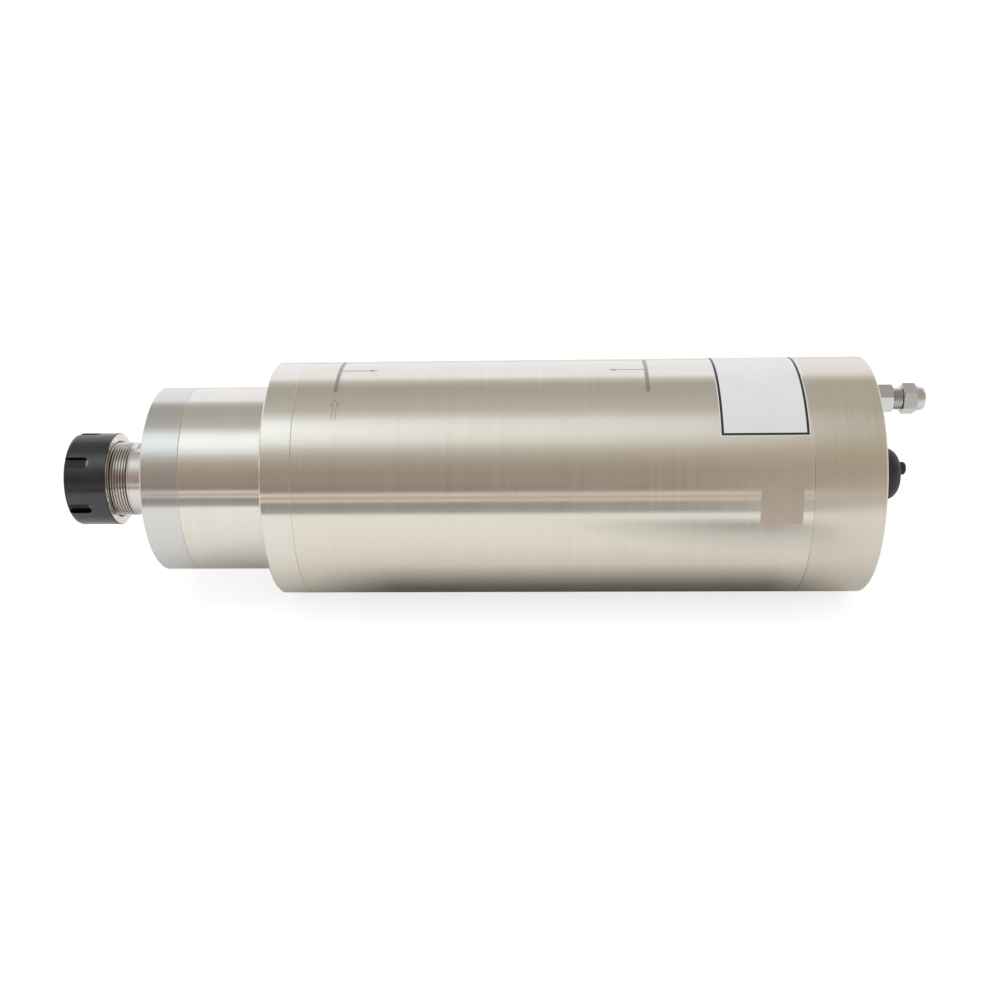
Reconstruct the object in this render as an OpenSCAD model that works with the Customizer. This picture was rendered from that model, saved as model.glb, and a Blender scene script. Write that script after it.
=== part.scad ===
// Water-cooled motor spindle with an ER32 collet nose.
// The spindle lies along X, its nose towards -X. Angles round the axis count from -Y towards +Z.
// The origin is on the axis, in the middle of the zone where a machine clamps the body.

/* [Body] */
// Diameter of the body
body_d = 125; // [122:0.5:160]
// Length of the body, from the flange's front face to the rear face
body_len = 307; // [250:1:400]
// Distance from the flange's front face to the middle of the clamping zone
clamp_mid = 115; // [80:1:150]
// Length of the flange in front of the sleeve
flange_len = 15.6; // [13:0.1:22]
// Length of the rear cap
rear_cap_len = 35; // [30:0.5:45]
// Thickness of the rear cap's end plate
rear_plate = 12; // [11:0.5:16]
// Radius of the hollow in the rear cap
chamber_r = 46; // [45:0.5:48]
// Wall of the outer sleeve
sleeve_wall = 5; // [3:0.25:7]
// Bevel on the outer edges
edge_bevel = 0.8; // [0.3:0.1:1.5]
// Bevel at the seams between the turned pieces
seam_bevel = 0.2; // [0.1:0.05:0.4]

/* [Nose] */
// Diameter of the nose
nose_d = 99; // [96:0.5:100]
// Length of the nose in front of the flange
nose_len = 64.1; // [60:0.5:90]
// Length of the nose cap that shows
nose_cap_len = 19.4; // [17:0.1:24]
// Length of the nose cap's spigot in the bearing bore
cap_spigot = 5; // [4.5:0.1:7]
// Running gap of the labyrinth seal
labyrinth_gap = 0.4; // [0.3:0.05:0.6]

/* [Shaft] */
// How far the shaft stands out of the nose cap
shaft_out = 37.1; // [34:0.1:50]
// Diameter of the nut thread
thread_d = 40; // [39:0.5:41]
// Length of the nut thread
thread_len = 20.6; // [17:0.1:25]
// Diameter of the relief behind the thread
relief_d = 39.2; // [38:0.1:39.4]
// Width across the wrench flats
wrench_af = 36; // [34:0.5:37]
// Length of the wrench flats in front of the nose cap
wrench_len = 14.6; // [12:0.1:16]
// Angle of the wrench flats round the axis
wrench_angle = 97; // [0:1:180]
// Radius of the seat under the labyrinth ring
labyrinth_seat_r = 20.5; // [20.2:0.1:22]
// Radius of the shoulder behind the front bearings
shaft_shoulder_r = 26; // [25:0.5:26.5]
// Radius of the shaft in front of the rotor
shaft_front_r = 22; // [20.5:0.5:23]
// Radius of the shaft in the rotor
shaft_rotor_r = 19; // [18.5:0.5:20]
// Radius of the clearance bore behind the collet
tool_clear_r = 8.5; // [7:0.5:10]

/* [Collet and nut] */
// Diameter of the nut
nut_d = 50; // [48:0.5:56]
// Length of the nut
nut_len = 23.6; // [21:0.1:26]
// Rounding of the nut's front edge
nut_round = 3.2; // [1:0.1:4]
// Number of spanner slots in the nut
nut_slots = 6; // [4:1:8]
// Width of a spanner slot
nut_slot_w = 6.2; // [5:0.1:7]
// Length of a spanner slot
nut_slot_len = 14; // [10:0.5:15]
// Depth of a spanner slot
nut_slot_deep = 2.3; // [1.5:0.1:2.6]
// Angle of the first spanner slot round the axis
nut_slot_angle = 47; // [0:1:60]
// Largest radius of the collet, where its taper starts
collet_big_r = 16.5; // [16.2:0.1:17]
// Radius of the taper's mouth in the shaft
taper_mouth_r = 16; // [15.5:0.1:16.1]
// Half angle of the collet's taper
taper_angle = 8; // [7:0.5:9]
// Overall length of the collet
collet_len = 40; // [36:0.5:42]
// Length of the collet's head with its groove
collet_head = 9; // [8.6:0.1:10]
// Largest radius of the collet's head cone
collet_head_r = 15.9; // [15.7:0.1:16]
// Half angle of the collet's head cone
head_angle = 30; // [25:1:35]
// Radius of the extraction groove
groove_r = 13.4; // [12.5:0.1:13.5]
// Bore of the collet
collet_bore_d = 12; // [6:0.5:20]
// Number of slits from each end
slits_each_end = 8; // [6:1:8]
// Width of a slit
slit_w = 0.9; // [0.5:0.1:1.2]

/* [Front bearings] */
// Bore of a front bearing
fb_bore_d = 45; // [44:0.5:46]
// Outside diameter of a front bearing
fb_out_d = 75; // [72:0.5:78]
// Width of a front bearing
fb_w = 16; // [13:0.5:17]
// Ball diameter of a front bearing
fb_ball_d = 9; // [8:0.1:9.5]
// Balls in a front bearing
fb_balls = 16; // [12:1:17]
// Width of the spacers between the front bearings
spacer_w = 8; // [4:0.5:10]

/* [Rear bearings] */
// Bore of a rear bearing
rb_bore_d = 35; // [34:0.5:36]
// Outside diameter of a rear bearing
rb_out_d = 62; // [60:0.5:62]
// Width of a rear bearing
rb_w = 14; // [12:0.5:15]
// Ball diameter of a rear bearing
rb_ball_d = 8; // [7:0.1:8.5]
// Balls in a rear bearing
rb_balls = 15; // [12:1:15]
// Thickness of a preload disc spring
spring_t = 0.8; // [0.6:0.1:1]
// Height of the cone of a preload disc spring
spring_cone = 0.45; // [0.3:0.05:0.6]
// Length of the bearing cover's spigot
cover_spigot = 5.5; // [4:0.5:8]
// Thickness of the bearing cover's flange
cover_flange = 4; // [3.5:0.5:6]

/* [Motor] */
// Radius of the rotor
rotor_r = 28.2; // [26:0.1:29]
// Air gap between rotor and stator
air_gap = 0.4; // [0.3:0.05:0.6]
// Number of stator slots
stator_slots = 24; // [18:6:24]
// Width of a stator slot
stator_slot_w = 4.2; // [3:0.1:4.4]
// Depth of a stator slot
stator_slot_deep = 11.5; // [8:0.5:13]
// Length of the front end turns
front_turns = 24; // [18:0.5:26]
// Length of the rear end turns
rear_turns = 18; // [14:0.5:20]
// Number of rotor bars
rotor_bars = 30; // [24:1:32]
// Diameter of a rotor bar
rotor_bar_d = 3.8; // [3:0.1:4]
// Length of a rotor end ring
end_ring_len = 8; // [6:0.5:9]

/* [Water jacket] */
// Wall of the jacket, channels included
jacket_wall = 7.25; // [7:0.25:9]
// Depth of a channel
channel_deep = 4; // [3:0.25:4.5]
// Width of a channel
channel_w = 16; // [10:0.5:17]
// Number of channels round the jacket, a multiple of six
channels = 12; // [6:6:12]
// Length of the collar in front of the channels
front_collar = 20; // [19:0.5:24]
// Length of the collar behind the channels
rear_collar = 12; // [10:0.5:16]
// Diameter of the drilled water ways to the channels
way_d = 4.6; // [3:0.1:4.8]

/* [Water fittings] */
// Distance of a fitting from the axis
fitting_r = 43.6; // [43:0.1:44.5]
// Angle of the first fitting round the axis
fitting_angle_1 = 90; // [90:1:90]
// Angle of the second fitting round the axis
fitting_angle_2 = 210; // [210:1:210]
// Width across the flats of a fitting
fitting_af = 14; // [12:0.5:14]
// How far the fitting's base reaches from the rear face
fitting_base = 12.8; // [11:0.1:16]
// Free thread between the base and the nut
fitting_free = 5.2; // [3:0.1:6]
// Length of the fitting nut's hexagon
fitting_hex = 6.8; // [6.5:0.1:10]
// Length of the fitting nut's tapered end
fitting_taper = 4.4; // [3:0.1:6]
// Diameter of the fitting's outer thread
fitting_thread_d = 11.5; // [11:0.1:12]
// Diameter of the fitting's thread in the rear cap
port_thread_d = 9.7; // [9:0.1:10]
// Bore for the 8 mm hose
hose_bore_d = 8.2; // [8.1:0.05:8.3]

/* [Cable socket] */
// Diameter of the socket's barrel
socket_d = 26; // [24:0.5:26]
// How far the barrel reaches from the rear face
socket_out = 15.6; // [13:0.1:16]
// Width of the socket's square flange
socket_flange = 34; // [33:0.5:38]
// Diameter of the dust cap
dust_cap_d = 28.4; // [27.5:0.1:30]
// How far the dust cap reaches from the rear face
dust_cap_out = 22; // [21.8:0.1:26]
// Rounding of the dust cap's end
dust_cap_round = 8; // [2:0.5:8]
// Diameter of the dust cap's knob
knob_d = 7; // [5:0.5:9]
// Height of the knob
knob_h = 4.2; // [2:0.1:5]
// Distance of the knob from the cap's middle
knob_off = 2.9; // [0:0.1:4]
// Angle of the knob round the axis
knob_angle = 117; // [0:1:360]
// Diameter of a contact pin
pin_d = 3.2; // [2:0.1:4]
// Radius of the circle of contact pins
pin_circle_r = 6.2; // [5:0.1:7]
// Outside diameter of a lead
lead_d = 2.6; // [2:0.1:2.8]

/* [Fits] */
// Gap between pieces that are pressed or screwed together
fit = 0.02; // [0.01:0.01:0.04]
// Radial gap of a running fit
running = 0.05; // [0.03:0.01:0.08]

/* [Hidden] */
$fn = 72;
far = 400;

// Radii that follow from the diameters
body_r = body_d / 2;
nose_r = nose_d / 2;
thread_r = thread_d / 2;
relief_r = relief_d / 2;
sleeve_bore_r = body_r - sleeve_wall;
jacket_bore_r = sleeve_bore_r - jacket_wall;
channel_floor_r = sleeve_bore_r - channel_deep;
fb_out_r = fb_out_d / 2;
rb_out_r = rb_out_d / 2;
spigot_wall = 4;
spigot_in_r = jacket_bore_r - spigot_wall;

// Stations along the axis, from the nose to the rear
x_front = -clamp_mid;
x_nose = x_front - nose_len;
x_cap_seam = x_nose + nose_cap_len;
x_sleeve_0 = x_front + flange_len;
x_rear = x_front + body_len;
x_sleeve_1 = x_rear - rear_cap_len;
x_fb_a = x_cap_seam + cap_spigot;
x_fb_spacer = x_fb_a + fb_w;
x_fb_b = x_fb_spacer + spacer_w;
x_fb_end = x_fb_b + fb_w;
spring_room = 2 * (spring_t + spring_cone);
x_rb_end = x_sleeve_1 - cover_spigot - spring_room;
x_rb_b = x_rb_end - rb_w;
x_rb_a = x_rb_b - rb_w;
rear_web = 3;
x_shaft_end = x_sleeve_1 + 2;
x_jacket_1 = x_rb_a - rear_web;
turn_clear = 13.4;
rear_clear = 12;
x_stator_0 = x_sleeve_0 + turn_clear + front_turns;
x_stator_1 = x_jacket_1 - rear_clear - rear_turns;

// Stations of the collet and its nut
x_shaft = x_nose - shaft_out;
x_taper = x_shaft - (collet_big_r - taper_mouth_r) / tan(taper_angle);
x_collet = x_taper - collet_head;
nut_proud = 0.45;
x_nut = x_collet - nut_proud;
x_nut_rear = x_nut + nut_len;
x_collet_rear = x_collet + collet_len;
collet_small_r = collet_big_r - (collet_len - collet_head) * tan(taper_angle);
head_cone_len = 4;
head_front_r = collet_head_r - head_cone_len * tan(head_angle);
groove_x = 5;

// Sizes of the labyrinth ring, which the nose cap follows
x_labyrinth = x_nose + 5.2;
x_lab_disc = x_fb_a - 9;
x_lab_fin = x_lab_disc - 6;
lab_disc_w = 3.5;
lab_hub_r = fb_bore_d / 2 + 2.5;
lab_fin_in_r = lab_hub_r + 2.8;
lab_fin_out_r = lab_fin_in_r + 2;
lab_disc_r = lab_fin_out_r + 2.2;

// Screw sizes: shank radius, head radius, head height, width across the socket
M3 = [1.5, 2.75, 3, 2.5];
M4 = [2, 3.5, 4, 3];
M5 = [2.5, 4.25, 5, 4];
head_clear = 0.25;
flange_screw_r = sleeve_bore_r - jacket_wall / 2 + 0.45;
flange_screws_n = 8;
flange_screw_grip = 10;
nose_screw_r = (fb_out_r + nose_r) / 2;
nose_screws_n = 6;
nose_screw_grip = 10;
nose_head_deep = 6;
rear_screw_r = sleeve_bore_r - 4;
rear_screws_n = 6;
rear_screw_grip = 11;
rear_head_deep = 6;
cover_screw_r = rb_out_r + 3.5;
cover_screws_n = 4;
cover_screw_grip = 8;
cover_flange_r = cover_screw_r + M3[1] - 0.25;
cover_bore_r = rb_bore_d / 2 + 7;

// Rubber rings: section radius, with the grooves that hold them
ring_r = 1.1;
small_ring_r = 0.8;
face_ring_r = 0.75;
groove_extra = 0.3;
jacket_ring_x = x_sleeve_0 + 14.7;
rear_ring_x = x_jacket_1 + 19.7;
front_spigot_len = 7;
front_spigot_ring_x = x_sleeve_0 + 3.2;
rear_spigot_len = 8;
rear_spigot_ring_x = x_jacket_1 - 4;
nose_ring_x = x_cap_seam + 2.5;

// Water ways and the passage for the leads in the rear housing
way_r = sleeve_bore_r - 2.9;
way_x = x_jacket_1 + 11.5;
port_r = 3.5;
port_boss_r = 6.5;
port_seal_r = port_r + 1.3;
port_thread_deep = 10.5;
fittings = [fitting_angle_1, fitting_angle_2];
lead_angle = 330;
lead_circle_r = cover_flange_r + 4.6;
lead_hole_r = 4;

// Radii in the motor
stator_bore_r = rotor_r + air_gap;
slot_open_w = 1.6;
slot_open_deep = 2;
slot_in_r = stator_bore_r + slot_open_deep;
slot_out_r = slot_in_r + stator_slot_deep;
bar_circle_r = rotor_r - rotor_bar_d / 2 - 1.4;

// Stations behind the rear face
gasket_t = 0.8;
flange_t = 3;
x_socket_flange = x_rear + gasket_t;
x_socket_barrel = x_socket_flange + flange_t;
x_socket_end = x_rear + socket_out;
x_socket_back = x_rear - rear_plate - 4;
socket_back_r = 12.4;
socket_bore_r = 11;
socket_screw_off = socket_flange / 2 - 4;
socket_screw_grip = 7;
x_pin_back = x_socket_back - 2;
x_pin_front = x_socket_end - 3;
x_cap_mouth = x_socket_barrel + 0.6;
x_cap_end = x_rear + dust_cap_out;
washer_t = 1.2;
x_fit_base = x_rear + washer_t;
x_fit_thread = x_rear + fitting_base;
x_fit_nut = x_fit_thread + fitting_free;
x_fit_hex = x_fit_nut + fitting_hex;
x_fit_end = x_fit_hex + fitting_taper;
x_fit_seat = x_fit_hex - 1.1;
x_fit_body_end = x_fit_seat - 1.2;
x_hose_stop = x_fit_body_end - 4.5;
fitting_base_turn = 27;
fitting_nut_turn = 43;
hose_bore_r = hose_bore_d / 2;
fitting_bore_r = 3;

// Places for the screws of the rear bearing's cover
module at_cover_screws() {
    around(cover_screws_n, 45) out_at(cover_screw_r) children();
}

// Places for the screws of the socket's flange
module at_socket_screws() {
    around(4, 45) out_at(socket_screw_off * sqrt(2)) children();
}

// Turns a profile of [radius, x] points round the spindle's axis
module turned(profile) {
    rotate([0, 90, 0]) rotate_extrude() polygon(profile);
}

// Points of an arc round [cx, cy], for use in a profile
function arc(cx, cy, r, a0, a1, steps = 8) =
    [for (i = [0 : steps]) let (a = a0 + (a1 - a0) * i / steps) [cx + r * cos(a), cy + r * sin(a)]];

// A rod on the axis from x0 to x1
module rod(x0, x1, r) {
    translate([x0, 0, 0]) rotate([0, 90, 0]) cylinder(h = x1 - x0, r = r);
}

// A plain ring from x0 to x1
module ring(x0, x1, r_out, r_in) {
    turned([[r_in, x0], [r_out, x0], [r_out, x1], [r_in, x1]]);
}

// A round-section ring in the plane at x
module torus(x, r, section_r) {
    translate([x, 0, 0]) rotate([0, 90, 0]) rotate_extrude()
        translate([r, 0]) circle(r = section_r, $fn = 32);
}

// Places its children, drawn on the -Y side, at an angle round the axis
module at_angle(a) {
    rotate([-a, 0, 0]) children();
}

// Repeats its children evenly round the axis
module around(count, first = 0) {
    for (i = [0 : count - 1]) at_angle(first + i * 360 / count) children();
}

// Moves its children out to a radius on the -Y side
module out_at(r) {
    translate([0, -r, 0]) children();
}

// The groove for a rubber ring, opening outwards at radius r
module ring_groove(x, r, section_r) {
    ring(x - section_r - groove_extra, x + section_r + groove_extra, r + 1, r - 2 * section_r);
}

// The rubber ring that lies in that groove
module seal_ring(x, r, section_r) {
    torus(x, r - section_r, section_r - fit);
}

// A socket-head screw along the axis: its head's seat is at x, its shank runs in direction dir
module socket_screw(size, x, dir, shank) {
    translate([x, 0, 0]) mirror([dir < 0 ? 1 : 0, 0, 0]) difference() {
        union() {
            rod(-0.01, shank, size[0] - fit);
            rod(-size[2], 0, size[1]);
        }
        rod(-size[2] - 1, -size[2] / 2, size[3] / 2 / cos(30), $fn = 6);
    }
}

// The hole that such a screw goes through, with the pocket for its head
module screw_hole(size, x, dir, shank, head_room) {
    translate([x, 0, 0]) mirror([dir < 0 ? 1 : 0, 0, 0]) {
        rod(-0.5, shank, size[0]);
        rod(-head_room, 0, size[1] + head_clear);
    }
}

// Nose cap: outer ring, labyrinth and spigot in one turned piece
module nose_cap() {
    bore = relief_r + labyrinth_gap;
    lab_x = x_labyrinth - labyrinth_gap;
    disc_x = x_lab_disc - labyrinth_gap;
    fin_x = x_lab_fin - labyrinth_gap;
    g = labyrinth_gap;
    color("Silver") difference() {
        turned([
            [bore, x_nose], [nose_r - edge_bevel, x_nose], [nose_r, x_nose + edge_bevel],
            [nose_r, x_cap_seam - seam_bevel], [nose_r - seam_bevel, x_cap_seam],
            [fb_out_r - fit, x_cap_seam], [fb_out_r - fit, x_fb_a], [lab_disc_r + g, x_fb_a],
            [lab_disc_r + g, disc_x], [lab_fin_out_r + g, disc_x], [lab_fin_out_r + g, fin_x],
            [lab_fin_in_r - g, fin_x], [lab_fin_in_r - g, disc_x], [lab_hub_r + g, disc_x],
            [lab_hub_r + g, lab_x], [bore, lab_x]
        ]);
        ring_groove(nose_ring_x, fb_out_r - fit, small_ring_r);
        around(nose_screws_n, 30) out_at(nose_screw_r)
            screw_hole(M5, x_nose + nose_head_deep, 1, nose_cap_len, nose_head_deep + 1);
    }
}

module nose_cap_screws() {
    color("DimGray") around(nose_screws_n, 30) out_at(nose_screw_r)
        socket_screw(M5, x_nose + nose_head_deep, 1, nose_cap_len - nose_head_deep + nose_screw_grip);
}

module nose_cap_oring() {
    color("Black") seal_ring(nose_ring_x, fb_out_r - fit, small_ring_r);
}

// Labyrinth ring: screwed on the shaft, it clamps the inner rings and throws chips and mist off
module labyrinth_ring() {
    bore = labyrinth_seat_r + fit;
    color("LightSlateGray") difference() {
        turned([
            [bore, x_labyrinth], [lab_hub_r, x_labyrinth], [lab_hub_r, x_lab_disc],
            [lab_fin_in_r, x_lab_disc], [lab_fin_in_r, x_lab_fin], [lab_fin_out_r, x_lab_fin],
            [lab_fin_out_r, x_lab_disc], [lab_disc_r, x_lab_disc], [lab_disc_r, x_lab_disc + lab_disc_w],
            [lab_hub_r, x_lab_disc + lab_disc_w], [lab_hub_r, x_fb_a], [bore, x_fb_a]
        ]);
        around(4, 45) out_at(lab_hub_r - 2) rod(x_labyrinth - 1, x_labyrinth + 3, 1.2);
    }
}

// Front housing: the nose barrel and the flange, bored for the front bearings
module front_housing() {
    shoulder_r = fb_out_r - 4;
    shoulder_x = x_fb_end + 3.5;
    web_x = x_sleeve_0 - 5;
    color("Gainsboro") difference() {
        turned([
            [fb_out_r, x_cap_seam], [nose_r - seam_bevel, x_cap_seam], [nose_r, x_cap_seam + seam_bevel],
            [nose_r, x_front], [body_r - edge_bevel, x_front], [body_r, x_front + edge_bevel],
            [body_r, x_sleeve_0 - seam_bevel], [body_r - seam_bevel, x_sleeve_0],
            [jacket_bore_r - fit, x_sleeve_0], [jacket_bore_r - fit, x_sleeve_0 + front_spigot_len],
            [spigot_in_r, x_sleeve_0 + front_spigot_len], [spigot_in_r, web_x],
            [shaft_shoulder_r + 1, web_x], [shaft_shoulder_r + 1, shoulder_x],
            [shoulder_r, shoulder_x], [shoulder_r, x_fb_end], [fb_out_r, x_fb_end]
        ]);
        ring_groove(front_spigot_ring_x, jacket_bore_r - fit, ring_r);
        around(nose_screws_n, 30) out_at(nose_screw_r)
            rod(x_cap_seam - 1, x_cap_seam + nose_screw_grip + 2, M5[0]);
        around(flange_screws_n, 22.5) out_at(flange_screw_r)
            screw_hole(M4, x_front + M4[2] + 0.6, 1, flange_len, M4[2] + 2);
    }
}

module flange_screws() {
    color("DimGray") around(flange_screws_n, 22.5) out_at(flange_screw_r)
        socket_screw(M4, x_front + M4[2] + 0.6, 1, flange_len - M4[2] - 0.6 + flange_screw_grip);
}

// Outer ring of an angular-contact bearing: one shoulder is turned away
module outer_ring(x, w, d_bore, d_out, ball_d, open_front) {
    pitch_r = (d_bore + d_out) / 4;
    ball_r = ball_d / 2;
    high_r = pitch_r + 0.55 * ball_r;
    low_r = pitch_r + 0.88 * ball_r;
    r_0 = open_front ? low_r : high_r;
    r_1 = open_front ? high_r : low_r;
    out_r = d_out / 2 - fit;
    color("SteelBlue") difference() {
        turned([
            [r_0, x], [out_r - 0.6, x], [out_r, x + 0.6], [out_r, x + w - 0.6], [out_r - 0.6, x + w],
            [r_1, x + w], [r_1, x + w / 2], [r_0, x + w / 2]
        ]);
        torus(x + w / 2, pitch_r, ball_r + running);
    }
}

// Inner ring of the same bearing, with its low shoulder on the other side
module inner_ring(x, w, d_bore, d_out, ball_d, open_front) {
    pitch_r = (d_bore + d_out) / 4;
    ball_r = ball_d / 2;
    high_r = pitch_r - 0.55 * ball_r;
    low_r = pitch_r - 0.88 * ball_r;
    r_0 = open_front ? high_r : low_r;
    r_1 = open_front ? low_r : high_r;
    in_r = d_bore / 2 + fit;
    color("CadetBlue") difference() {
        turned([
            [in_r + 0.4, x], [r_0, x], [r_0, x + w / 2], [r_1, x + w / 2], [r_1, x + w],
            [in_r + 0.4, x + w], [in_r, x + w - 0.4], [in_r, x + 0.4]
        ]);
        torus(x + w / 2, pitch_r, ball_r + running);
    }
}

module balls(x, w, d_bore, d_out, ball_d, count) {
    color("WhiteSmoke") around(count, 180 / count) out_at((d_bore + d_out) / 4)
        translate([x + w / 2, 0, 0]) sphere(d = ball_d, $fn = 32);
}

// Machined cage with one round pocket per ball
module cage(x, w, d_bore, d_out, ball_d, count) {
    pitch_r = (d_bore + d_out) / 4;
    wall = 0.26 * ball_d;
    side = 1.5;
    color("SaddleBrown") difference() {
        ring(x + side, x + w - side, pitch_r + wall / 2, pitch_r - wall / 2);
        around(count, 180 / count) translate([x + w / 2, -pitch_r + wall, 0]) rotate([90, 0, 0])
            cylinder(h = 2 * wall, d = ball_d + 4 * running);
    }
}

module front_bearing_a_outer_ring() outer_ring(x_fb_a, fb_w, fb_bore_d, fb_out_d, fb_ball_d, true);
module front_bearing_a_inner_ring() inner_ring(x_fb_a, fb_w, fb_bore_d, fb_out_d, fb_ball_d, true);
module front_bearing_a_balls() balls(x_fb_a, fb_w, fb_bore_d, fb_out_d, fb_ball_d, fb_balls);
module front_bearing_a_cage() cage(x_fb_a, fb_w, fb_bore_d, fb_out_d, fb_ball_d, fb_balls);
module front_bearing_b_outer_ring() outer_ring(x_fb_b, fb_w, fb_bore_d, fb_out_d, fb_ball_d, false);
module front_bearing_b_inner_ring() inner_ring(x_fb_b, fb_w, fb_bore_d, fb_out_d, fb_ball_d, false);
module front_bearing_b_balls() balls(x_fb_b, fb_w, fb_bore_d, fb_out_d, fb_ball_d, fb_balls);
module front_bearing_b_cage() cage(x_fb_b, fb_w, fb_bore_d, fb_out_d, fb_ball_d, fb_balls);
module rear_bearing_a_outer_ring() outer_ring(x_rb_a, rb_w, rb_bore_d, rb_out_d, rb_ball_d, true);
module rear_bearing_a_inner_ring() inner_ring(x_rb_a, rb_w, rb_bore_d, rb_out_d, rb_ball_d, true);
module rear_bearing_a_balls() balls(x_rb_a, rb_w, rb_bore_d, rb_out_d, rb_ball_d, rb_balls);
module rear_bearing_a_cage() cage(x_rb_a, rb_w, rb_bore_d, rb_out_d, rb_ball_d, rb_balls);
module rear_bearing_b_outer_ring() outer_ring(x_rb_b, rb_w, rb_bore_d, rb_out_d, rb_ball_d, true);
module rear_bearing_b_inner_ring() inner_ring(x_rb_b, rb_w, rb_bore_d, rb_out_d, rb_ball_d, true);
module rear_bearing_b_balls() balls(x_rb_b, rb_w, rb_bore_d, rb_out_d, rb_ball_d, rb_balls);
module rear_bearing_b_cage() cage(x_rb_b, rb_w, rb_bore_d, rb_out_d, rb_ball_d, rb_balls);

module front_outer_spacer() {
    color("SlateGray") ring(x_fb_spacer, x_fb_b, fb_out_r - fit, fb_out_r - 3.4);
}

module front_inner_spacer() {
    color("SlateGray") ring(x_fb_spacer, x_fb_b, fb_bore_d / 2 + 3.4, fb_bore_d / 2 + fit);
}

// Shaft: nut thread, wrench flats, bearing and rotor seats, with the collet taper in its front end
module spindle_shaft() {
    x_thread_end = x_shaft + thread_len;
    x_shoulder_end = x_fb_end + 9;
    rear_r = rb_bore_d / 2;
    color("LightGray") difference() {
        turned([
            [0, x_shaft], [thread_r - 1, x_shaft], [thread_r, x_shaft + 1], [thread_r, x_thread_end - 0.8],
            [relief_r, x_thread_end], [relief_r, x_labyrinth - 0.2], [labyrinth_seat_r, x_labyrinth - 0.2],
            [labyrinth_seat_r, x_fb_a], [fb_bore_d / 2, x_fb_a], [fb_bore_d / 2, x_fb_end],
            [shaft_shoulder_r, x_fb_end], [shaft_shoulder_r, x_shoulder_end],
            [shaft_front_r, x_shoulder_end], [shaft_front_r, x_stator_0],
            [shaft_rotor_r, x_stator_0], [shaft_rotor_r, x_rb_a],
            [rear_r, x_rb_a], [rear_r, x_rb_end], [rear_r - 0.5, x_rb_end],
            [rear_r - 0.5, x_shaft_end - 1], [rear_r - 1.5, x_shaft_end], [0, x_shaft_end]
        ]);
        collet_taper();
        rod(x_collet_rear, x_collet_rear + 28, tool_clear_r);
        around(2, wrench_angle) translate([x_nose - wrench_len, -far / 2 - wrench_af / 2, -far / 2])
            cube([wrench_len + 1.5, far / 2, far]);
    }
}

// The hollow taper that the collet seats in
module collet_taper() {
    gap = fit / cos(taper_angle);
    end = 1;
    deep = x_collet_rear + end - x_shaft;
    translate([x_shaft - 1, 0, 0]) rotate([0, 90, 0])
        cylinder(h = deep + 1, r1 = taper_mouth_r + gap + tan(taper_angle),
            r2 = taper_mouth_r + gap - deep * tan(taper_angle));
}

// Collet: head cone, extraction groove and taper, slit from both ends
module collet() {
    bore_r = collet_bore_d / 2;
    front_slit = collet_len - 6.5;
    rear_slit = collet_len - 9.5;
    color("Silver") difference() {
        turned([
            [bore_r + 0.5, x_collet], [head_front_r, x_collet], [collet_head_r, x_collet + head_cone_len],
            [collet_head_r, x_collet + groove_x], [groove_r, x_collet + groove_x], [groove_r, x_taper],
            [collet_big_r, x_taper], [collet_small_r + 0.7 * tan(taper_angle), x_collet_rear - 0.7],
            [collet_small_r - 0.6, x_collet_rear], [bore_r + 0.5, x_collet_rear],
            [bore_r, x_collet_rear - 0.5], [bore_r, x_collet + 0.5]
        ]);
        around(slits_each_end) translate([x_collet - 1, -collet_big_r - 1, -slit_w / 2])
            cube([front_slit + 1, collet_big_r + 1, slit_w]);
        around(slits_each_end, 180 / slits_each_end)
            translate([x_collet_rear - rear_slit, -collet_big_r - 1, -slit_w / 2])
            cube([rear_slit + 1, collet_big_r + 1, slit_w]);
    }
}

// Collet nut: 30 degree seat for the collet's head, eccentric extractor lip and thread
module collet_nut() {
    seat_r = head_front_r + running / cos(head_angle);
    front_r = seat_r - nut_proud * tan(head_angle);
    cone_end = x_collet + head_cone_len + 0.3;
    seat_end_r = front_r + (cone_end - x_nut) * tan(head_angle);
    pocket_r = collet_head_r + 0.7;
    lip_x0 = x_collet + groove_x + 0.5;
    lip_x1 = x_taper - 0.5;
    lip_off = 1.2;
    lip_r = groove_r + 0.6 + lip_off;
    thread_bore_r = thread_r + running;
    outer_r = nut_d / 2;
    color("DarkSlateGray") difference() {
        turned(concat(
            [[0, x_nut]],
            arc(outer_r - nut_round, x_nut + nut_round, nut_round, -90, 0),
            [[outer_r, x_nut_rear - 0.6], [outer_r - 0.6, x_nut_rear], [0, x_nut_rear]]
        ));
        turned([
            [0, x_nut - 1], [head_front_r, x_nut - 1], [front_r, x_nut],
            [seat_end_r, cone_end], [pocket_r, cone_end], [pocket_r, lip_x0], [0, lip_x0]
        ]);
        translate([0, 0, lip_off]) rod(lip_x0 - 0.01, lip_x1 + 0.01, lip_r);
        turned([
            [0, lip_x1], [collet_big_r + 0.6, lip_x1], [collet_big_r + 0.6, x_shaft - 0.6],
            [thread_bore_r + 0.4, x_shaft - 0.6], [thread_bore_r + 0.4, x_shaft + 1.2],
            [thread_bore_r, x_shaft + 1.6], [thread_bore_r, x_nut_rear - 1],
            [thread_bore_r + 1, x_nut_rear], [thread_bore_r + 1, x_nut_rear + 1], [0, x_nut_rear + 1]
        ]);
        around(nut_slots, nut_slot_angle) spanner_slot();
    }
}

// One spanner slot: a milled groove with a round end
module spanner_slot() {
    r = nut_slot_w / 2;
    x_end = x_nut + nut_slot_len - r;
    floor_r = nut_d / 2 - nut_slot_deep;
    translate([x_nut - 1, -nut_d, -r]) cube([x_end - x_nut + 1, nut_d - floor_r, nut_slot_w]);
    translate([x_end, -floor_r, 0]) rotate([90, 0, 0]) cylinder(h = nut_d - floor_r, r = r);
}

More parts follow.
